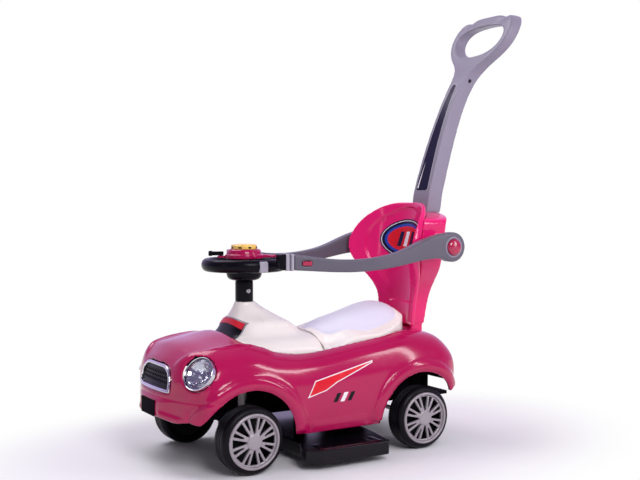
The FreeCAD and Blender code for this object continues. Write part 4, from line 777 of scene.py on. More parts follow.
# Printed and laminated vinyl in plain colours: smooth, with the laminate's faint ripple.
VINYL_RED = Moulding(
    "vinyl_printed_red", "#DE1A2E", "#CE1629", "#E4485A",
    0.25, 8.0, 0.05, 30, specular=0.25,
)
VINYL_WHITE = Moulding(
    "vinyl_printed_white", "#EEE8EE", "#E4DDE6", "#F4F1F4", 0.28, 8.0, 0.05, 30,
)
VINYL_BLACK = Moulding(
    "vinyl_printed_black", "#120F18", "#0D0B12", "#24202C",
    0.25, 8.0, 0.05, 30, specular=0.15,
)
VINYL_NAVY = Moulding(
    "vinyl_printed_navy", "#11123A", "#0C0C2E", "#26284F",
    0.2, 8.0, 0.05, 30, specular=0.25,
)
VINYL_BLUE = Moulding(
    "vinyl_printed_blue", "#2744B0", "#203A9E", "#4660C0", 0.2, 8.0, 0.05, 30, specular=0.3,
)
INLAY_VINYL = Moulding(
    "vinyl_printed_inlay", "#1B1636", "#14102B", "#2A2548",
    0.22, 8.0, 0.05, 40, specular=0.12,
)
# Vacuum-plated ABS: a mirror with the moulding's slow ripple in it.
CHROME = Metal("ABS_vacuum_plated_chrome", "#DAD8DE", "#C6C4CC", 0.08, 6.0, 0.05)
# The same plating inside the lamps, on facets.
MIRROR = Metal("ABS_vacuum_plated_reflector", "#E6E5EA", "#D2D0D8", 0.1, 4.0, 0.05)
# Zinc-plated steel: bright grey, finely clouded.
STEEL = Metal("steel_zinc_plated", "#B4B2B8", "#98969C", 0.3, 2.0, 0.1)
# Black-oxide steel: dark, with a dry sheen.
DARK_STEEL = Metal("steel_black_oxide", "#2A272E", "#1E1B22", 0.45, 2.0, 0.1)
# Clear acrylic lamp lens.
LENS = ClearMoulding("PMMA_clear_moulded_lens", "#F4F6FA", 5.0)


@cache
def material(finish: Finish) -> Material:
    """Return a finish's material, built once."""
    return finish.build()


def dress(piece: Object, *finishes: Finish) -> None:
    """Give a new piece its materials, in the order of its faces' numbers."""
    for finish in finishes:
        piece.data.materials.append(material(finish))


def parted(piece: Object, finish: Finish, other: Finish, test: Callable[[Any], bool]) -> None:
    """Give a new piece one finish, and some of its faces another.

    Args:
        piece: The modelled mesh.
        finish: The finish of most faces.
        other: The finish of the faces that pass the test.
        test: Says whether a face has the other finish.
    """
    with editing(piece):
        dress(piece, finish, other)
        pick(piece, "FACE", test)
        piece.active_material_index = 1
        bpy.ops.object.material_slot_assign()


def deliver(
    piece: Object, body: str, slot: str, finish: Finish | Sequence[Finish], *nodes: str,
    sharp: float = 40.0,
) -> Object:
    """Finish a piece: shade and dress it, let it ride on its body and stand for its CAD nodes.

    Args:
        piece: The modelled mesh.
        body: The CAD body that it moves with.
        slot: The record's slot that its finish belongs to; it is not used.
        finish: Its finish, or several in the order of its faces' numbers.
        nodes: The CAD nodes that it replaces.
        sharp: The angle in degrees above which an edge stays sharp.

    Returns:
        The piece.
    """
    take(piece)
    bpy.ops.object.shade_smooth_by_angle(angle=math.radians(sharp))
    dress(piece, *(finish if isinstance(finish, (list, tuple)) else [finish]))
    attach(piece, body)
    if nodes:
        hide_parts(*nodes)
    LOG.info("%s on %s, %d faces", piece.name, body, len(piece.data.polygons))
    return piece


def carry_over(node: str, finish: Finish) -> None:
    """Give a CAD node that stays its finish.

    Args:
        node: The CAD node.
        finish: Its finish.
    """
    for place in frame["nodes"][node].material_slots:
        place.material = material(finish)
    LOG.info("%s carried over", node)


@dataclass(frozen=True)
class Layer:
    """One printed layer of a label.

    Attributes:
        name: Its name after the label's.
        outline: Its corners in millimetres.
        lift: How far its face stands off the carrier, in millimetres.
        finish: Its finish.
        nodes: The CAD nodes that it replaces.
    """

    name: str
    outline: Outline
    lift: float
    finish: Finish
    nodes: tuple[str, ...] = ()


def lay(
    name: str, carrier: Object, axis: Axis, towards: int, body: str, slot: str,
    layers: Sequence[Layer],
) -> None:
    """Model a label of several layers and finish each of them.

    Args:
        name: The label's name.
        carrier: The mesh it lies on.
        axis: The direction that it is laid on along.
        towards: The sign of that direction.
        body: The CAD body that it moves with.
        slot: The record's slot that its finish belongs to.
        layers: Its layers from the lowest up.
    """
    for layer in layers:
        piece = label(f"{name}_{layer.name}", layer.outline, axis, towards, carrier, layer.lift)
        deliver(piece, body, slot, layer.finish, *layer.nodes)


# Sub-assemblies. A profile is radius, height and, where the corner is rounded, its rounding.


@dataclass
class Wheels:
    """Four hard wheels with their hubcaps."""

    radius: float = 55.0
    width: float = 40.0
    shoulder: float = 8.6
    inner_face: float = 106.0
    half_base: float = 170.0
    rim: float = 44.0
    ledge: float = 45.5
    web: tuple[float, float] = (12.0, 18.0)
    hub: float = 13.0
    hub_ends: tuple[float, float] = (4.0, 30.0)
    bore: float = 4.05
    groove_starts: tuple[float, ...] = (12.5, 18.8, 25.1)
    groove_width: float = 2.4
    groove_slope: float = 0.5
    groove_depth: float = 1.3

    def build(self) -> None:
        """Model one tyre and one hubcap and copy them to the four corners."""
        tyre = self.tyre()
        cap = moulded("hubcap_front_left", "hubcap", voxel=0.7, passes=3)
        half_turn = Matrix.Rotation(math.pi, 3, "Z")
        for side in Side:
            for end, sign in (("front", 1), ("rear", -1)):
                corner = f"{end}_{side.word}"
                body = f"wheel_{corner}"
                hub = Vector((sign * self.half_base, side.value * self.inner_face, self.radius))
                wheel = settle(twin(tyre, f"wheel_tyre_{corner}"), hub, side.outward)
                deliver(wheel, body, "tyre_black", TYRE_PLASTIC, f"tyre_{corner}", sharp=30)
                shift = Vector((0 if sign == side.value else -2 * self.half_base, 0, 0))
                disc = settle(twin(cap, f"wheel_cap_{corner}"), shift)
                if side is Side.RIGHT:
                    settle(disc, Vector(), half_turn)
                deliver(disc, body, "silver", SILVER_PAINT, f"hubcap_{corner}", sharp=60)
        for part in (tyre, cap):
            bpy.data.objects.remove(part)

    def tyre(self) -> Object:
        """Model one tyre with three tread grooves.

        Returns:
            The tyre about the Z axis, its outer side up.
        """
        tread, deep = self.radius, self.radius - self.groove_depth
        (web_in, web_out), (hub_in, hub_out) = self.web, self.hub_ends
        profile = [
            (self.bore, hub_in), (self.hub, hub_in, 0.8), (self.hub, web_in, 1),
            (self.rim, web_in, 1.5), (self.rim, 0, 0.8), (tread, 0, self.shoulder),
        ]
        for low in self.groove_starts:
            high = low + self.groove_width
            profile += [
                (tread, low, 0.4), (deep, low + self.groove_slope, 0.3),
                (deep, high - self.groove_slope, 0.3), (tread, high, 0.4),
            ]
        profile += [
            (tread, self.width, self.shoulder), (self.ledge, self.width, 0.3),
            (self.ledge, hub_out), (self.rim, hub_out), (self.rim, web_out, 1.5),
            (self.hub, web_out, 1), (self.hub, hub_out, 0.8), (self.bore, hub_out),
            (self.bore, hub_in),
        ]
        return turned("tyre", profile, FINE)


@dataclass
class Steering:
    """Steering wheel, horn, column sleeve and lever."""

    column_x: float = 113.0
    rim_radius: float = 65.0
    rim_half_width: float = 9.0
    rim_half_height: float = 11.0
    rim_z: float = 329.0
    rim_sides: int = 32
    rim_seam: float = 0.94
    spoke_angles: tuple[int, ...] = (90, 180, 270)
    spoke_box: Box = ((27, -13, -5), (62, 13, 5))
    trim_reach: tuple[float, float] = (56.0, 75.2)
    trim_half_width: float = 8.0
    trim_z: tuple[float, float] = (318.6, 337.5)
    bowl_profile: Profile = (
        (5.02, 302), (20, 302, 1), (28, 304, 5), (31.5, 314, 7), (31.5, 339.8, 0.8), (28, 339.8),
        (28, 306), (5.02, 306), (5.02, 302),
    )
    sleeve_profile: Profile = (
        (5.02, 265.3), (15.6, 265.3, 0.8), (15.6, 298, 1), (14.8, 302, 0.6), (5.02, 302),
        (5.02, 265.3),
    )
    bolt_z: float = 284.0
    bolt_reach: float = 15.5
    bolt_head_profile: Profile = ((0, 0), (4.2, 0), (4.2, 2, 1.4), (0, 2))
    bolt_shank_profile: Profile = ((0, -14.6), (2.5, -14.6, 0.2), (2.5, 14.6, 0.2), (0, 14.6))
    horn_z: float = 340.0
    shell_profile: Profile = (
        (0, 340), (33, 340, 0.8), (33, 346.5, 1.5), (30.5, 347.5, 0.8), (30, 351, 1.5),
        (27.5, 356, 2.5), (23.4, 356, 0.5), (23.4, 352.8), (21.9, 352.8), (21.9, 349), (0, 349),
    )
    tail_box: Box = ((-62, -12, 340), (-28, 12, 346))
    tail_end: float = -50.0
    tail_taper: tuple[float, float, float] = (1.0, 0.62, 0.7)
    bracket_box: Box = ((28, -5, 340.5), (46, 5, 344.1))
    pin_profile: Profile = ((0, 344), (2, 344, 0.2), (2, 351.3, 0.5), (0, 351.3))
    pin_reach: float = 41.0
    lever_angle: float = -35.0
    button_profile: Profile = (
        (0, 352.5), (21.5, 352.5, 0.5), (21.5, 356.3, 0.4), (22.8, 356.6, 0.3),
        (22.8, 363.6, 2.6), (15.5, 364.4, 0.8), (14.5, 363.6, 0.6), (0, 363.6),
    )
    # Black blocks on the button's side are painted shade: they stand for the dark inside its side
    # windows.
    window_box: Box = ((21.6, -3.2, 357.4), (22.95, 3.2, 360.2))
    windows: int = 8

    @property
    def column(self) -> Vector:
        """Return the column's foot on the ground."""
        return Vector((self.column_x, 0, 0))

    def build(self) -> None:
        """Model the wheel with its trims, the sleeve, the horn and its button."""
        self.wheel()
        self.sleeve()
        self.horn()
        lever = moulded("signal_lever", "lever_stalk", voxel=0.5, passes=5)
        deliver(lever, "lever", "black", BLACK_PLASTIC, "signal_lever", sharp=SOFT)
        carry_over("steering_shaft", STEEL)
        carry_over("sound_module", BLACK_PLASTIC)
        carry_over("column_bush", BLACK_PLASTIC)

    def wheel(self) -> None:
        """Model the rim with its parting line, three spokes, the round bowl and the grey trims."""
        section = []
        half = self.rim_sides // 2
        for step in range(self.rim_sides + 1):
            angle = math.tau * step / self.rim_sides
            seam = self.rim_seam if step % half == half // 2 else 1.0
            section.append((
                self.rim_radius + seam * self.rim_half_width * math.cos(angle),
                self.rim_z + seam * self.rim_half_height * math.sin(angle),
            ))
        rim = turned("rim", section, FINE)
        bowl = turned("bowl", self.bowl_profile)
        spokes = []
        for angle in self.spoke_angles:
            turn = Matrix.Rotation(math.radians(angle), 3, "Z")
            spoke = block("spoke", self.spoke_box, rounding=3.4)
            spokes.append(settle(spoke, Vector((0, 0, self.rim_z)), turn))
        wheel = settle(joined("steering_rim", rim, bowl, *spokes), self.column)
        deliver(wheel, "steering", "black", BLACK_PLASTIC, "steering_wheel")
        trims = []
        back, front = self.column_x - self.trim_half_width, self.column_x + self.trim_half_width
        for side in Side:
            near, far = sorted(side.value * reach for reach in self.trim_reach)
            box = ((back, near, self.trim_z[0]), (front, far, self.trim_z[1]))
            trims.append(block("trim", box, rounding=3))
        deliver(joined("rim_trims", *trims), "steering", "grey", PALE_PLASTIC, "spoke_trims")

    def sleeve(self) -> None:
        """Model the column sleeve and the domed heads of its cross bolt."""
        sleeve = settle(turned("column_tube", self.sleeve_profile), self.column)
        deliver(sleeve, "steering", "black", BLACK_PLASTIC, "column_sleeve")
        heads = []
        for side in Side:
            head = turned("head", self.bolt_head_profile, 32)
            place = Vector((self.column_x, side.value * self.bolt_reach, self.bolt_z))
            heads.append(settle(head, place, side.outward))
        shank = turned("shank", self.bolt_shank_profile, 24)
        settle(shank, Vector((self.column_x, 0, self.bolt_z)), Side.RIGHT.outward)
        bolt = joined("column_cross_bolt", *heads, shank)
        deliver(bolt, "steering", "steel", STEEL, "column_bolt")

    def horn(self) -> None:
        """Model the stepped horn housing with its rear tail and lever bracket, and the button."""
        shell = turned("shell", self.shell_profile)
        tail = block("tail", self.tail_box, rounding=2)
        with editing(tail, "VERT"):
            pick(tail, "VERT", lambda corner: corner.co.x < self.tail_end * MM)
            bpy.ops.transform.resize(
                value=self.tail_taper, center_override=(0, 0, self.horn_z * MM)
            )
        bracket = block("bracket", self.bracket_box, rounding=1)
        pin = settle(turned("pin", self.pin_profile, 24), Vector((self.pin_reach, 0, 0)))
        for part in (bracket, pin):
            settle(part, Vector(), Matrix.Rotation(math.radians(self.lever_angle), 3, "Z"))
        housing = settle(joined("horn_shell", shell, tail, bracket, pin), self.column)
        deliver(housing, "steering", "magenta", BODY_PLASTIC, "horn_housing")
        button = settle(turned("horn_push", self.button_profile), self.column)
        deliver(button, "horn", "button_yellow", BUTTON_YELLOW, "horn_button")
        # The windows are black blocks on the button's face, painted shade for the dark inside
        # them.
        windows = []
        for step in range(self.windows):
            turn = Matrix.Rotation(math.tau * step / self.windows, 3, "Z")
            window = block("window", self.window_box, rounding=0.3, segments=2)
            windows.append(settle(window, Vector(), turn))
        openings = settle(joined("horn_windows", *windows), self.column)
        deliver(openings, "horn", "black", BLACK_PLASTIC)


@dataclass
class Nose:
    """Headlights, grille and front plate."""

    lamp_place: tuple[float, float, float] = (249.0, 108.0, 165.5)
    lamp_yaw: float = 24.0
    lamp_pitch: float = 29.0
    bezel_profile: Profile = (
        (24.05, -14), (28.5, -14), (28.5, 2.2, 1), (27.6, 3, 0.6), (26.6, 2.2, 0.3),
        (26.4, -2.2), (24.05, -2.2), (24.05, -14),
    )
    lens_profile: Profile = (
        (0, 1.9), (10, 1.3), (18, -0.1), (26.3, -2), (26.3, 0.6, 0.5), (18, 2.6), (10, 3.7),
        (0, 4.2),
    )
    bowl_profile: Profile = (
        (0, -13.2), (10, -13.2), (23.9, -4), (23.9, -1.7), (22.6, -1.7), (19.4, -5.2),
        (18.8, -4.8), (14.6, -8.6), (14, -8.2), (9.2, -11.6), (6.4, -12), (6.2, -8.5),
        (5.4, -6.4), (3.2, -5), (0, -4.6),
    )
    bowl_facets: int = 22
    bulb_profile: Profile = ((0, -11), (3.4, -11), (3.4, -7, 1), (2.2, -4.6, 1), (0, -4.2))
    bulb_place: tuple[float, float, float] = (9.5, 6.5, 0.0)
    cell: float = 7.2
    bar: float = 1.5
    bar_height: float = 1.1
    bar_gap: float = 0.05
    comb_x: float = 350.0
    comb_rows: int = 4
    comb_columns: int = 12

    def build(self) -> None:
        """Model the lamps and the grille, and dress the plate."""
        bezels, bowls, lenses = [], [], []
        for side in Side:
            bezels.append(self.place(side, turned("bezel", self.bezel_profile)))
            bowls.append(self.place(side, self.bowl()))
            lenses.append(self.place(side, turned("lens", self.lens_profile)))
        deliver(joined("lamp_bezels", *bezels), "car", "chrome", CHROME, "headlight_bezels")
        deliver(
            joined("lamp_bowls", *bowls), "car", "mirror", MIRROR, "headlight_reflectors", sharp=8
        )
        deliver(joined("lamp_lenses", *lenses), "car", "lens", LENS, "headlight_lenses")
        surround = moulded("grille_frame", "grille_surround", voxel=0.8, passes=8)
        deliver(surround, "car", "chrome", CHROME, "grille_frame", sharp=70)
        deliver(self.honeycomb(), "car", "black", GLOSS_BLACK)
        carry_over("grille_mesh", BLACK_PLASTIC)
        carry_over("number_plate", DULL_BLACK)

    def place(self, side: Side, piece: Object) -> Object:
        """Move a lamp piece that was turned about the Z axis to its lamp.

        Args:
            side: The lamp's side.
            piece: The turned piece.

        Returns:
            The piece.
        """
        x, y, z = self.lamp_place
        yaw = Matrix.Rotation(math.radians(side.value * self.lamp_yaw), 3, "Z")
        pitch = Matrix.Rotation(math.radians(90 - self.lamp_pitch), 3, "Y")
        return settle(piece, Vector((x, side.value * y, z)), yaw @ pitch)

    def bowl(self) -> Object:
        """Model a faceted reflector bowl with its bulbs.

        Returns:
            The bowl about the Z axis.
        """
        bowl = turned("bowl", self.bowl_profile, self.bowl_facets)
        bulb = settle(turned("bulb", self.bulb_profile, 16), Vector(self.bulb_place))
        return joined("bowl", bowl, bulb)

    def honeycomb(self) -> Object:
        """Model one cell of the grille's honeycomb, copy it and lay the comb on its panel.

        Returns:
            The honeycomb, whole cells only.
        """
        panel = frame["nodes"]["grille_mesh"]
        low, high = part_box("grille_mesh")
        reach = self.cell / math.sqrt(3)
        bpy.ops.object.select_all(action="DESELECT")
        bpy.ops.mesh.primitive_circle_add(vertices=6, radius=reach * MM, fill_type="NGON")
        hexagon = bpy.context.object
        with editing(hexagon):
            bpy.ops.mesh.select_all(action="SELECT")
            bpy.ops.mesh.inset(thickness=self.bar / 2 * MM)
            bpy.ops.mesh.delete(type="FACE")
        settle(hexagon, Vector(), Matrix.Rotation(math.pi / 2, 3, "Y"))
        cells = []
        rise = self.cell * math.sqrt(3) / 2
        middle = Vector((low + high)) / 2 / MM
        for row in range(-self.comb_rows, self.comb_rows + 1):
            for column in range(-self.comb_columns, self.comb_columns + 1):
                y = (column + 0.5 * (row % 2)) * self.cell
                spot = Vector((self.comb_x, y, middle.z + row * rise))
                corners = [
                    spot + Vector((0, across, up))
                    for across in (-reach, reach) for up in (-reach, reach)
                ]
                if all(panel.ray_cast(c * MM, Vector((-1, 0, 0)))[0] for c in corners):
                    cells.append(settle(twin(hexagon, "cell"), spot))
        bpy.data.objects.remove(hexagon)
        comb = joined("grille_honeycomb", *cells)
        clean(comb)
        modify(
            comb, "SHRINKWRAP", target=panel, wrap_method="PROJECT", use_project_x=True,
            use_negative_direction=True, use_positive_direction=False, offset=self.bar_gap * MM,
        )
        modify(comb, "SOLIDIFY", thickness=self.bar_height * MM, offset=1.0)
        clean(comb)
        return comb


@dataclass
class Backrest:
    """The two backrest halves, the badge and the fasteners."""

    screw_y: float = 62.0
    screw_tips: tuple[tuple[float, float], ...] = ((330.0, -217.4), (402.0, -225.0))
    plug_profile: Profile = ((0, -4.4), (2.4, -4.4), (2.4, 0.2), (0, 0.2))
    step: float = 13.0
    step_z: tuple[float, float] = (392.0, 430.0)
    # Height below which the pink rear half is painted dull black as shade.
    foot_z: float = 168.0
    badge_z: float = 366.0
    badge_ovals: tuple[tuple[float, float], ...] = (
        (61.6, 35.6), (60.2, 34.2), (54.5, 29.5), (49.0, 24.5),
    )
    bar_places: tuple[float, ...] = (-21.0, -4.0, 13.0)
    bar_half_width: float = 5.0
    bar_half_height: float = 14.0
    bar_lean: float = 8.0

    def build(self) -> None:
        """Model both halves with moulded edges, the lock button and the layered badge."""
        front = cad_copy("backrest_front", "backrest_face")
        softened(joined("backrest_face", front, *self.plugs()), voxel=1.2, passes=26)
        deliver(front, "car", "pink", BACK_PLASTIC, "backrest_front", sharp=SOFT)
        rear = moulded("backrest_rear", "backrest_back", voxel=1.6, passes=10)
        sculpt(rear, self.stepped)
        # The pink rear half is given dull black low down as painted shade, where its foot shows in
        # the dark rear arch.
        parted(
            rear, BACK_PLASTIC, DULL_BLACK,
            lambda face: face.calc_center_median().z < self.foot_z * MM,
        )
        deliver(rear, "car", "pink", (), "backrest_rear", sharp=SOFT)
        lock = moulded("handle_lock_button", "lock_push", voxel=0.6, passes=6)
        deliver(lock, "handle_lock", "button_red", BUTTON_RED, "handle_lock_button", sharp=SOFT)
        carry_over("backrest_badge", VINYL_NAVY)
        carry_over("backrest_screws", STEEL)
        self.badge()

    def stepped(self, place: Vector, normal: Vector) -> Vector:
        """Return how far a place of the rear half's top sinks to meet the handle's foot."""
        return Vector((0, 0, -self.step * MM * ramp(place.z, *self.step_z)))

    def plugs(self) -> list[Object]:
        """Model plugs for the front half's screw bores, whose screws fill them.

        Returns:
            The plugs.
        """
        plugs = []
        for side in Side:
            for height, tip in self.screw_tips:
                plug = turned("plug", self.plug_profile, 16)
                place = Vector((tip, side.value * self.screw_y, height))
                plugs.append(settle(plug, place, Matrix.Rotation(math.pi / 2, 3, "Y")))
        return plugs

    def badge(self) -> None:
        """Model the badge's printed rings and its three slanted bars, each a thin layer."""
        z, half, lean = self.badge_z, self.bar_half_width, self.bar_lean
        low, high = z - self.bar_half_height, z + self.bar_half_height
        rings = [oval(*size, z) for size in self.badge_ovals]
        bars = [
            [(y + half, low), (y + half + lean, high), (y - half + lean, high), (y - half, low)]
            for y in self.bar_places
        ]
        lay("badge", frame["nodes"]["backrest_badge"], Axis.X, -1, "car", "badge", (
            Layer("outline", rings[0], 0.12, VINYL_WHITE),
            Layer("field", rings[1], 0.24, VINYL_NAVY),
            Layer("ring", rings[2], 0.36, VINYL_BLUE),
            Layer("centre", rings[3], 0.48, VINYL_RED),
            Layer("bar_right", bars[0], 0.6, VINYL_NAVY),
            Layer("bar_middle", bars[1], 0.6, VINYL_WHITE),
            Layer("bar_left", bars[2], 0.6, VINYL_NAVY),
        ))


@dataclass
class Guard:
    """The two guard arms with their tips, latches and pivot caps."""

    pivot: tuple[float, float] = (-238.0, 356.0)
    cap_foot: float = 140.3
    cap_profile: Profile = (
        (0, 0), (15, 0, 0.3), (15, 2.2, 0.8), (14.2, 4.4, 1.6), (10.2, 7.2, 2), (0, 8),
    )
    ring_profile: Profile = (
        (15.3, -1), (19, -1), (19, 0.6, 0.5), (16.6, 1.5, 0.7), (15.3, 0.9, 0.4), (15.3, -1),
    )
    collar: tuple[float, float] = (74.2, 88.0)
    collar_proud: float = 0.3
    rib_ends: tuple[tuple[float, float], ...] = ((75.0, 78.2), (83.0, 87.2))
    rib_proud: float = 0.8

    def build(self) -> None:
        """Model each arm and its small parts."""
        carry_over("guard_pivot_pins", GREY_PLASTIC)
        for side in Side:
            word = side.word
            body = f"guard_{word}"
            arm = moulded(f"guard_arm_{word}", f"guard_bar_{word}", voxel=1.4, passes=30)
            deliver(arm, body, "grey", GREY_PLASTIC, f"guard_arm_{word}", sharp=SOFT)
            tip = moulded(f"arm_tip_{word}", f"guard_tip_{word}", voxel=0.9, passes=8)
            collar = self.band(tip, self.collar, self.collar_proud)
            collar.name = f"guard_collar_{word}"
            bands = [self.band(tip, ends, self.rib_proud) for ends in self.rib_ends]
            ribs = joined(f"guard_ribs_{word}", *bands)
            deliver(collar, body, "grey", GREY_PLASTIC, sharp=60)
            deliver(ribs, body, "grey", PALE_PLASTIC, sharp=60)
            deliver(tip, body, "black", BLACK_PLASTIC, f"arm_tip_{word}", sharp=SOFT)
            cap = turned(f"guard_cap_{word}", self.cap_profile)
            ring = turned(f"guard_ring_{word}", self.ring_profile)
            place = Vector((self.pivot[0], side.value * self.cap_foot, self.pivot[1]))
            for part in (cap, ring):
                settle(part, place, side.outward)
            deliver(ring, body, "grey", HANDLE_PLASTIC)
            deliver(cap, body, "button_red", BUTTON_RED, f"pivot_cap_{word}")
            latch = moulded(f"latch_button_{word}", f"guard_latch_{word}", voxel=0.5, passes=5)
            deliver(
                latch, f"latch_{word}", "button_red", BUTTON_RED, f"latch_button_{word}",
                sharp=SOFT,
            )

    def band(self, tip: Object, ends: tuple[float, float], proud: float) -> Object:
        """Model a raised band round an arm's tip, cut from a copy of it.

        Args:
            tip: The arm's tip.
            ends: Where the band begins and ends along X, in millimetres.
            proud: How far it stands off the tip, in millimetres.

        Returns:
            The band.
        """
        band = twin(tip, "band")
        with editing(band):
            for place, outwards in zip(ends, (-1, 1)):
                bpy.ops.mesh.select_all(action="SELECT")
                bpy.ops.mesh.bisect(
                    plane_co=(place * MM, 0, 0), plane_no=(outwards, 0, 0), use_fill=True,
                    clear_outer=True,
                )
            bpy.ops.mesh.select_all(action="SELECT")
            bpy.ops.transform.shrink_fatten(value=proud * MM)
        return band


@dataclass
class Handle:
    """The parent's push handle with its inlay and screws."""

    dip: float = 5.0
    dip_y: float = 50.0
    dip_width: float = 11.0
    dip_z: tuple[float, float] = (784.0, 802.0)
    base_step: float = 16.0
    base_from: tuple[float, float] = (390.0, 430.0)
    base_to: tuple[float, float] = (434.0, 456.0)
    grip_z: tuple[float, float] = (690.0, 730.0)
    inlay_half: Outline = (
        (13.5, 459.5), (17.5, 463.5), (12.8, 543), (7.5, 636), (5.6, 664), (2.5, 668),
    )
    inlay_edge: float = 1.7
    stripe: Outline = ((-14.6, 464), (-10.6, 464), (-7.4, 516))

    def build(self) -> None:
        """Model the handle with moulded edges and a round grip, its inlay and its screws."""
        handle = cad_copy("push_handle", "handle_bar")
        with editing(handle, "VERT"):
            top = max(corner.co.z for corner in handle.data.vertices)
            pick(handle, "VERT", lambda corner: corner.co.z > top - TOUCH)
            bpy.ops.mesh.select_linked()
            bpy.ops.mesh.select_all(action="INVERT")
            bpy.ops.mesh.delete(type="VERT")
        softened(handle, voxel=1.3, passes=18)
        sculpt(handle, self.formed)
        eased(handle, 50, lambda place: ramp(place.z, *self.grip_z))
        deliver(handle, "handle", "grey", HANDLE_PLASTIC, "push_handle", sharp=SOFT)
        carry_over("handle_screws", DARK_STEEL)
        self.inlay(handle)

    def formed(self, place: Vector, normal: Vector) -> Vector:
        """Let the grip's top dip beside its bar and the foot reach lower.

        Args:
            place: A corner's place in millimetres.
            normal: Its normal, which has no part in this.

        Returns:
            The corner's move in metres.
        """
        dip = self.dip * bell(abs(place.y), self.dip_y, self.dip_width)
        sink = dip * ramp(place.z, *self.dip_z)
        foot = self.base_step * fall(place.z, *self.base_to) * ramp(place.z, *self.base_from)
        return Vector((0, 0, -sink - foot)) * MM

    def inlay(self, handle: Object) -> None:
        """Model the inlay with its pale edge and pin stripe, laid on the handle's front.

        Args:
            handle: The finished handle.
        """
        field = [*self.inlay_half, *((-y, z) for y, z in reversed(self.inlay_half))]
        lay("inlay", handle, Axis.X, -1, "handle", "inlay", (
            Layer("edge", inset(field, -self.inlay_edge), 0.7, PALE_PLASTIC),
            Layer("field", field, 1.1, INLAY_VINYL, ("handle_inlay",)),
            Layer("stripe", self.stripe, 1.25, VINYL_WHITE),
        ))


@dataclass(frozen=True)
class LowCorner:
    """The shell's low corners between the nose and the front arches, with soft borders.

    Attributes:
        x: Where they set in along the car, in millimetres.
        y: Where they set in outwards.
        z: Where they end upwards.
    """

    x: tuple[float, float]
    y: tuple[float, float]
    z: tuple[float, float]

    def share(self, place: Vector) -> float:
        """Return 1 at the corners and 0 away from them."""
        return ramp(place.x, *self.x) * fall(place.z, *self.z) * ramp(abs(place.y), *self.y)


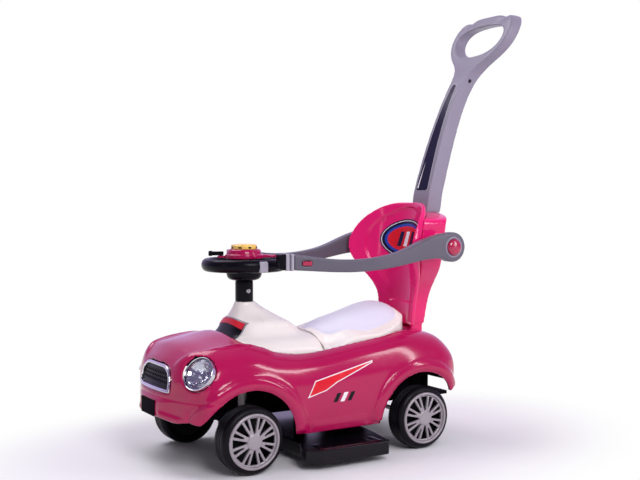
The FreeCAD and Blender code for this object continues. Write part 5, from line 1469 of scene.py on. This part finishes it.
@dataclass
class Body:
    """Body shell, cowl, seat, footrest and what they hide."""

    # These find the shell's inside, which is decimated and painted dull black as shade.
    axis_z: float = 130.0
    axis_end: float = 200.0
    inner_depth: float = 12.0
    tub_half: tuple[float, float] = (250.0, 118.0)
    tub_top: float = 165.0
    upward: float = 0.2
    half_base: float = 170.0
    arch_z: float = 52.0
    side_y: tuple[float, float] = (122.0, 132.0)
    side_normal: tuple[float, float] = (0.15, 0.6)
    flare_middle: float = 94.0
    flare_half: float = 10.0
    flare_start: float = -1.3
    flare_end: float = 2.2
    flare_round: float = 3.2
    flare_back: float = 1.4
    flare_fillet: float = 1.5
    sill_half_length: float = 88.0
    sill_roll: float = 1.5
    sill_z: float = 64.0
    sill_width: float = 11.0
    hood_z: float = 140.0
    hood_normal: float = 0.15
    crest_line: Outline = ((108, 101), (160, 97), (225, 90), (250, 79), (274, 60))
    crest_fades: tuple[float, float] = (22.0, 12.0)
    crest_widths: tuple[float, float] = (5.0, 16.0)
    crest: float = 3.2
    bumper_x: float = 225.0
    bumper_normal: float = 0.3
    lip: float = 2.4
    lip_inner: tuple[float, float] = (30.0, 42.0)
    lip_outer: tuple[float, float] = (98.0, 116.0)
    lip_x: float = 234.0
    lip_z: float = 77.0
    lip_slope: float = 0.3
    lip_width: float = 5.0
    crease: float = 1.1
    crease_z: float = 121.0
    crease_width: float = 2.6
    raised: LowCorner = LowCorner((205, 250), (60, 110), (58, 94))
    raised_move: tuple[float, float, float] = (4.0, 0.0, 14.0)
    tucked: LowCorner = LowCorner((236, 256), (94, 112), (98, 114))
    tucked_move: float = 9.0
    smooth: LowCorner = LowCorner((212, 232), (78, 96), (96, 118))
    inner_share: float = 0.12
    dash_half: float = 48.0
    dash_steps: int = 4
    dash_bow: float = 6.0
    dash_z: tuple[float, float] = (203.0, 240.0)
    dash_taper: float = 0.93
    dash_top_bow: float = 1.3
    dash_edge: float = 1.8
    dash_band: float = 9.0
    blade: Outline = ((66, 113), (51, 140), (-66, 165), (-66, 161.5), (8, 134), (30, 122))
    blade_edge: float = 1.6
    bar_places: tuple[float, ...] = (16.0, 2.0, -12.0)
    bar_z: tuple[float, float] = (101.0, 116.0)
    bar_width: float = 8.0
    saddle_middle: float = -104.0
    saddle_half_length: float = 82.0
    saddle_half_width: float = 68.0
    saddle_normal: float = 0.3
    groove: float = 1.1
    groove_half_width: float = 2.4

    def build(self) -> None:
        """Model the shell, its stripes, the seat and the footrest, and dress the rest."""
        shell = self.shell()
        self.stripes(shell)
        self.saddle()
        self.cowl()
        tray = moulded("footrest", "foot_tray", voxel=1.3, passes=5)
        deliver(tray, "car", "black", GLOSS_BLACK, "footrest", sharp=SOFT)
        for node in ("chassis_frame", "storage_bin", "tie_link", "knuckle_left", "knuckle_right"):
            carry_over(node, DULL_BLACK)
        for node in (
            "chassis_screws", "rear_axle", "rear_axle_nuts", "stub_axle_left", "stub_axle_right",
            "front_axle_nut_left", "front_axle_nut_right",
        ):
            carry_over(node, STEEL)

    def shell(self) -> Object:
        """Model the body shell with rounded flares outside and a coarser inside, painted black as
        shade.

        Returns:
            The shell.
        """
        shell = moulded("body_shell", "body_tub", voxel=1.8, passes=7)
        sculpt(shell, self.formed)
        modify(shell, "SMOOTH", factor=EVEN, iterations=5)
        eased(shell, 60, self.smooth.share)
        with editing(shell):
            pick(shell, "FACE", self.inward)
            bpy.ops.mesh.decimate(ratio=self.inner_share)
        # The pink shell's inside gets dull black as painted shade: it stands for the dark in the
        # wheel arches and under the body.
        parted(shell, BODY_PLASTIC, DULL_BLACK, self.inward)
        return deliver(shell, "car", "magenta", (), "body_shell", sharp=SOFT)

    def inward(self, face: Any) -> bool:
        """Say whether a face of the shell is inside it, where dull black is painted as shade.

        Args:
            face: A face of the shell in edit mode.

        Returns:
            True for a face inside.
        """
        place = face.calc_center_median() / MM
        over_tub = abs(place.x) < self.tub_half[0] and abs(place.y) < self.tub_half[1]
        if over_tub and (place.z < self.tub_top or face.normal.z < self.upward):
            return True
        along = min(max(place.x, -self.axis_end), self.axis_end)
        return face.normal.dot(place - Vector((along, 0, self.axis_z))) < -self.inner_depth

    def formed(self, place: Vector, normal: Vector) -> Vector:
        """Shape the shell: round flares, sill roll, hood crests, bumper lip, low front corners.

        Args:
            place: A corner's place in millimetres.
            normal: Its normal.

        Returns:
            The corner's move in metres.
        """
        out = math.copysign(1, place.y)
        move = Vector((0, out * self.flared(place, normal.y * out), 0))
        if normal.z > self.hood_normal and place.z > self.hood_z:
            move += normal * self.crested(place)
        if place.x > self.bumper_x and normal.x + abs(normal.y) > self.bumper_normal:
            move += normal * self.lipped(place)
        move += Vector(self.raised_move) * self.raised.share(place)
        move.y -= out * self.tucked_move * self.tucked.share(place)
        return move * MM

    def flared(self, place: Vector, outward: float) -> float:
        """Shape the shell's sides: a round flare over each wheel and a roll along the sill.

        Args:
            place: A corner's place in millimetres.
            outward: How far its normal points away from the car's middle.

        Returns:
            How far the corner moves outwards, in millimetres.
        """
        facing = ramp(abs(place.y), *self.side_y) * ramp(outward, *self.side_normal)
        reach = math.hypot(abs(place.x) - self.half_base, place.z - self.arch_z)
        share = (reach - self.flare_middle) / self.flare_half
        if self.flare_start < share < 0:
            return -facing * self.flare_round * share * share
        if 0 <= share < 1:
            return -facing * self.flare_back * share * share
        if 1 <= share < self.flare_end:
            return facing * self.flare_fillet * (self.flare_end - share) ** 2
        if abs(place.x) < self.sill_half_length:
            return facing * self.sill_roll * bell(place.z, self.sill_z, self.sill_width)
        return 0.0

    def crested(self, place: Vector) -> float:
        """Shape the crest between hood and fender.

        Args:
            place: A corner's place on the hood, in millimetres.

        Returns:
            How far the corner rises, in millimetres.
        """
        line = self.crest_line
        start, end = line[0][0], line[-1][0]
        if not start < place.x < end:
            return 0.0
        near, far = next(ends for ends in zip(line, line[1:]) if place.x <= ends[1][0])
        middle = near[1] + (far[1] - near[1]) * (place.x - near[0]) / (far[0] - near[0])
        off = abs(place.y) - middle
        fade_in, fade_out = self.crest_fades
        fade = ramp(place.x, start, start + fade_in) * fall(place.x, end - fade_out, end)
        return self.crest * fade * bell(off, 0, self.crest_widths[off >= 0])

    def lipped(self, place: Vector) -> float:
        """Shape the bumper: a lip along its lower edge and a crease over it.

        Args:
            place: A corner's place on the nose, in millimetres.

        Returns:
            How far the corner stands out, in millimetres.
        """
        off = abs(place.y)
        fade = ramp(off, *self.lip_inner) * fall(off, *self.lip_outer)
        edge = self.lip_z + (place.x - self.lip_x) * self.lip_slope
        lip = self.lip * fade * bell(place.z, edge, self.lip_width)
        return lip - self.crease * bell(place.z, self.crease_z, self.crease_width)

    def stripes(self, shell: Object) -> None:
        """Model a tapered stripe and three slanted bars on each side of the shell.

        Args:
            shell: The finished shell.
        """
        (low, high), wide = self.bar_z, self.bar_width
        bars = [
            [(x, low), (x - wide, high), (x - 2 * wide, high), (x - wide, low)]
            for x in self.bar_places
        ]
        for side in Side:
            lay("side", shell, Axis.Y, -side.value, "car", "badge", (
                Layer(f"blade_edge_{side.word}", self.blade, 0.15, VINYL_WHITE),
                Layer(f"blade_{side.word}", inset(self.blade, self.blade_edge), 0.3, VINYL_RED),
                Layer(f"bar_front_{side.word}", bars[0], 0.15, VINYL_BLACK),
                Layer(f"bar_middle_{side.word}", bars[1], 0.15, VINYL_WHITE),
                Layer(f"bar_rear_{side.word}", bars[2], 0.15, VINYL_BLACK),
            ))

    def saddle(self) -> None:
        """Model the saddle with a groove round its grained inner area, whose top faces get a
        painted lavender light.
        """
        seat = moulded("seat_lid", "saddle", voxel=1.5, passes=8)
        sculpt(seat, self.pressed)
        # The grained top faces get a lavender tone: painted cool light from above on the white
        # plastic.
        parted(seat, WHITE_PLASTIC, SEAT_PLASTIC, self.grained)
        deliver(seat, "seat", "white", (), "seat_lid", sharp=SOFT)

    def grained(self, face: Any) -> bool:
        """Say whether a face of the saddle is in its grained inner area and faces up, where
        lavender light is painted.
        """
        within = self.rim(face.calc_center_median() / MM) < 1
        return within and face.normal.z > self.saddle_normal

    def rim(self, place: Vector) -> float:
        """Return a saddle point's reach over the outline of its inner area, 1 on it."""
        along = abs(place.x - self.saddle_middle) / self.saddle_half_length
        return (along ** 3 + abs(place.y / self.saddle_half_width) ** 3) ** (1 / 3)

    def pressed(self, place: Vector, normal: Vector) -> Vector:
        """Press the groove into the saddle.

        Args:
            place: A corner's place in millimetres.
            normal: Its normal.

        Returns:
            The corner's move in metres.
        """
        off = (self.rim(place) - 1) * self.saddle_half_width / self.groove_half_width
        depth = self.groove * max(0, 1 - off * off) if normal.z > self.saddle_normal else 0
        return -normal * (depth * MM)

    def cowl(self) -> None:
        """Model the cowl with soft folds, and the instrument label on its front."""
        cowl = moulded("cowl", "cowl_cover", voxel=1.8, passes=12)
        deliver(cowl, "car", "white", WHITE_PLASTIC, "cowl", sharp=SOFT)
        steps = range(-self.dash_steps, self.dash_steps + 1)
        across = [self.dash_half * step / self.dash_steps for step in steps]
        bow = [-self.dash_bow * (y / self.dash_half) ** 2 for y in across]
        low, high = self.dash_z
        edge = [(y, low + rise) for y, rise in zip(across, bow)]
        edge += [
            (y * self.dash_taper, high + self.dash_top_bow * rise)
            for y, rise in zip(reversed(across), bow)
        ]
        field = inset(edge, self.dash_edge)
        top = field[len(across):]
        band = [(y, z - self.dash_band) for y, z in reversed(top)] + top
        lay("dash", cowl, Axis.X, -1, "car", "dash", (
            Layer("edge", edge, 1.3, SILVER_PAINT, ("dash_panel",)),
            Layer("field", field, 1.6, VINYL_BLACK),
            Layer("band", band, 2.4, VINYL_RED),
        ))


@dataclass(frozen=True)
class Lamp:
    """A soft studio lamp that faces the car.

    Attributes:
        name: Its name.
        place: Where it hangs, in metres.
        size: Its width and height in metres.
        power: Its power in watts.
    """

    name: str
    place: tuple[float, float, float]
    size: tuple[float, float]
    power: float

    def hang(self, aim: Vector) -> None:
        """Hang the lamp.

        Args:
            aim: The point it faces, in metres.
        """
        data = bpy.data.lights.new(self.name, "AREA")
        data.shape = "RECTANGLE"
        data.size, data.size_y = self.size
        data.energy = self.power
        lamp = bpy.data.objects.new(self.name, data)
        bpy.context.scene.collection.objects.link(lamp)
        lamp.location = self.place
        lamp.rotation_euler = (aim - lamp.location).to_track_quat("-Z", "Y").to_euler()


@dataclass
class Studio:
    """Pale floor, soft lamps and the photograph's camera. Lengths here are in metres."""

    camera_place: tuple[float, float, float] = (0.90417, 1.54945, 0.44140)
    camera_yaw: float = -2.1188
    camera_pitch: float = -0.0403
    lens: float = 56.23
    sensor: float = 36.0
    lamps: tuple[Lamp, ...] = (
        Lamp("key", (0.3, 2.0, 1.5), (0.9, 0.9), 27),
        Lamp("strip", (-1.2, 1.5, 1.0), (0.16, 1.3), 8),
        Lamp("nose", (2.0, 0.3, 0.8), (0.2, 1.0), 1),
        Lamp("back", (0.5, -0.9, 2.0), (1.2, 1.2), 19),
    )
    aim: tuple[float, float, float] = (0.0, 0.0, 0.25)
    floor_size: float = 14.0
    floor_drop: float = 0.0004
    floor_tones: tuple[str, str] = ("#E6E2E9", "#ECE9EF")
    floor_cloud: float = 1 / 3
    shadow_reach: tuple[float, float] = (0.40, 0.27)
    shadow_fade: tuple[float, float] = (1.0, 1.8)
    white: str = "#FFFFFF"
    light_tint: str = "#F6F4FF"
    light_from: tuple[float, float] = (-0.2, 0.8)
    light_strength: tuple[float, float] = (0.66, 0.24)
    mirror_tint: str = "#DCCCFF"
    mirror_from: tuple[float, float] = (-0.1, 0.6)
    mirror_strength: tuple[float, float] = (0.26, 1.0)

    def build(self) -> None:
        """Set the floor, the world, the lamps and the camera."""
        bpy.context.scene.view_settings.view_transform = "Standard"
        self.floor()
        self.world()
        for lamp in self.lamps:
            lamp.hang(Vector(self.aim))
        data = bpy.data.cameras.new("camera")
        data.lens = self.lens
        data.sensor_width = self.sensor
        camera = bpy.data.objects.new("camera", data)
        bpy.context.scene.collection.objects.link(camera)
        flat = math.cos(self.camera_pitch)
        heading = Vector((
            math.cos(self.camera_yaw) * flat, math.sin(self.camera_yaw) * flat,
            math.sin(self.camera_pitch),
        ))
        camera.location = self.camera_place
        camera.rotation_euler = heading.to_track_quat("-Z", "Y").to_euler()
        bpy.context.scene.camera = camera

    def floor(self) -> None:
        """Lay a pale floor that keeps the shadow near the car and reads as white further off."""
        bpy.ops.object.select_all(action="DESELECT")
        bpy.ops.mesh.primitive_plane_add(size=self.floor_size, location=(0, 0, -self.floor_drop))
        floor = bpy.context.object
        floor.name = "floor"
        surface, tree = blank("paper_sweep_white")
        place = add(tree, "TexCoord").outputs["Object"]
        cloud = add(tree, "TexNoise", {
            "Vector": place, "Scale": 1 / self.floor_cloud, "Detail": 2.0,
        })
        deep, pale = self.floor_tones
        tone = add(tree, "Mix", {
            0: cloud.outputs[0], 6: linear(deep), 7: linear(pale),
        }, data_type="RGBA")
        paper = add(tree, "BsdfDiffuse", {"Color": tone.outputs[2]})
        glow = add(tree, "Emission", {"Color": linear(self.white), "Strength": 1.0})
        reach = add(tree, "Mapping", {
            "Vector": place, "Scale": (1 / self.shadow_reach[0], 1 / self.shadow_reach[1], 1),
        })
        far = add(tree, "VectorMath", {0: reach.outputs[0]}, operation="LENGTH")
        white = add(tree, "MapRange", {
            "Value": far.outputs["Value"],
            "From Min": self.shadow_fade[0], "From Max": self.shadow_fade[1],
        }, interpolation_type="SMOOTHSTEP")
        share = add(tree, "Math", {0: white.outputs[0], 1: self.seen(tree)}, operation="MULTIPLY")
        both = add(tree, "MixShader", {
            0: share.outputs[0], 1: paper.outputs[0], 2: glow.outputs[0],
        })
        add(tree, "OutputMaterial", {"Surface": both.outputs[0]})
        floor.data.materials.append(surface)

    def seen(self, tree: NodeTree) -> bpy.types.NodeSocket:
        """Tell the rays that show the background from those that light the car.

        Args:
            tree: The node tree that asks.

        Returns:
            A socket with 1 for camera, glossy and transmission rays and 0 for the others.
        """
        rays = add(tree, "LightPath")
        sight = rays.outputs["Is Camera Ray"]
        for kind in ("Is Glossy Ray", "Is Transmission Ray"):
            either = add(tree, "Math", {0: sight, 1: rays.outputs[kind]}, operation="MAXIMUM")
            sight = either.outputs[0]
        return sight

    def world(self) -> None:
        """Surround the car with soft light and a white background that dims behind the camera."""
        world = bpy.data.worlds.new("studio")
        bpy.context.scene.world = world
        world.use_nodes = True
        tree = world.node_tree
        tree.nodes.clear()
        way = add(tree, "TexCoord").outputs["Generated"]
        front = add(tree, "MapRange", {
            "Value": add(tree, "SeparateXYZ", {0: way}).outputs[0],
            "From Min": self.light_from[0], "From Max": self.light_from[1],
            "To Min": self.light_strength[0], "To Max": self.light_strength[1],
        })
        light = add(tree, "Background", {
            "Color": linear(self.light_tint), "Strength": front.outputs[0],
        })
        heading = (math.cos(self.camera_yaw), math.sin(self.camera_yaw), 0)
        ahead = add(tree, "VectorMath", {0: way, 1: heading}, operation="DOT_PRODUCT")
        sweep = add(tree, "MapRange", {
            "Value": ahead.outputs["Value"],
            "From Min": self.mirror_from[0], "From Max": self.mirror_from[1],
            "To Min": self.mirror_strength[0], "To Max": self.mirror_strength[1],
        })
        camera = add(tree, "LightPath").outputs["Is Camera Ray"]
        strength = add(tree, "Math", {0: sweep.outputs[0], 1: camera}, operation="MAXIMUM")
        tint = add(tree, "Mix", {
            0: camera, 6: linear(self.mirror_tint), 7: linear(self.white),
        }, data_type="RGBA")
        backdrop = add(tree, "Background", {
            "Color": tint.outputs[2], "Strength": strength.outputs[0],
        })
        mix = add(tree, "MixShader", {
            0: self.seen(tree), 1: light.outputs[0], 2: backdrop.outputs[0],
        })
        add(tree, "OutputWorld", {"Surface": mix.outputs[0]})


def main() -> None:
    """Build the studio and every sub-assembly in order."""
    logging.basicConfig(level=logging.INFO, format="%(message)s")
    for assembly in (
        Studio(), Body(), Nose(), Wheels(), Steering(), Backrest(), Guard(), Handle(),
    ):
        LOG.info("%s", type(assembly).__name__)
        assembly.build()


if __name__ == "__main__":
    main()
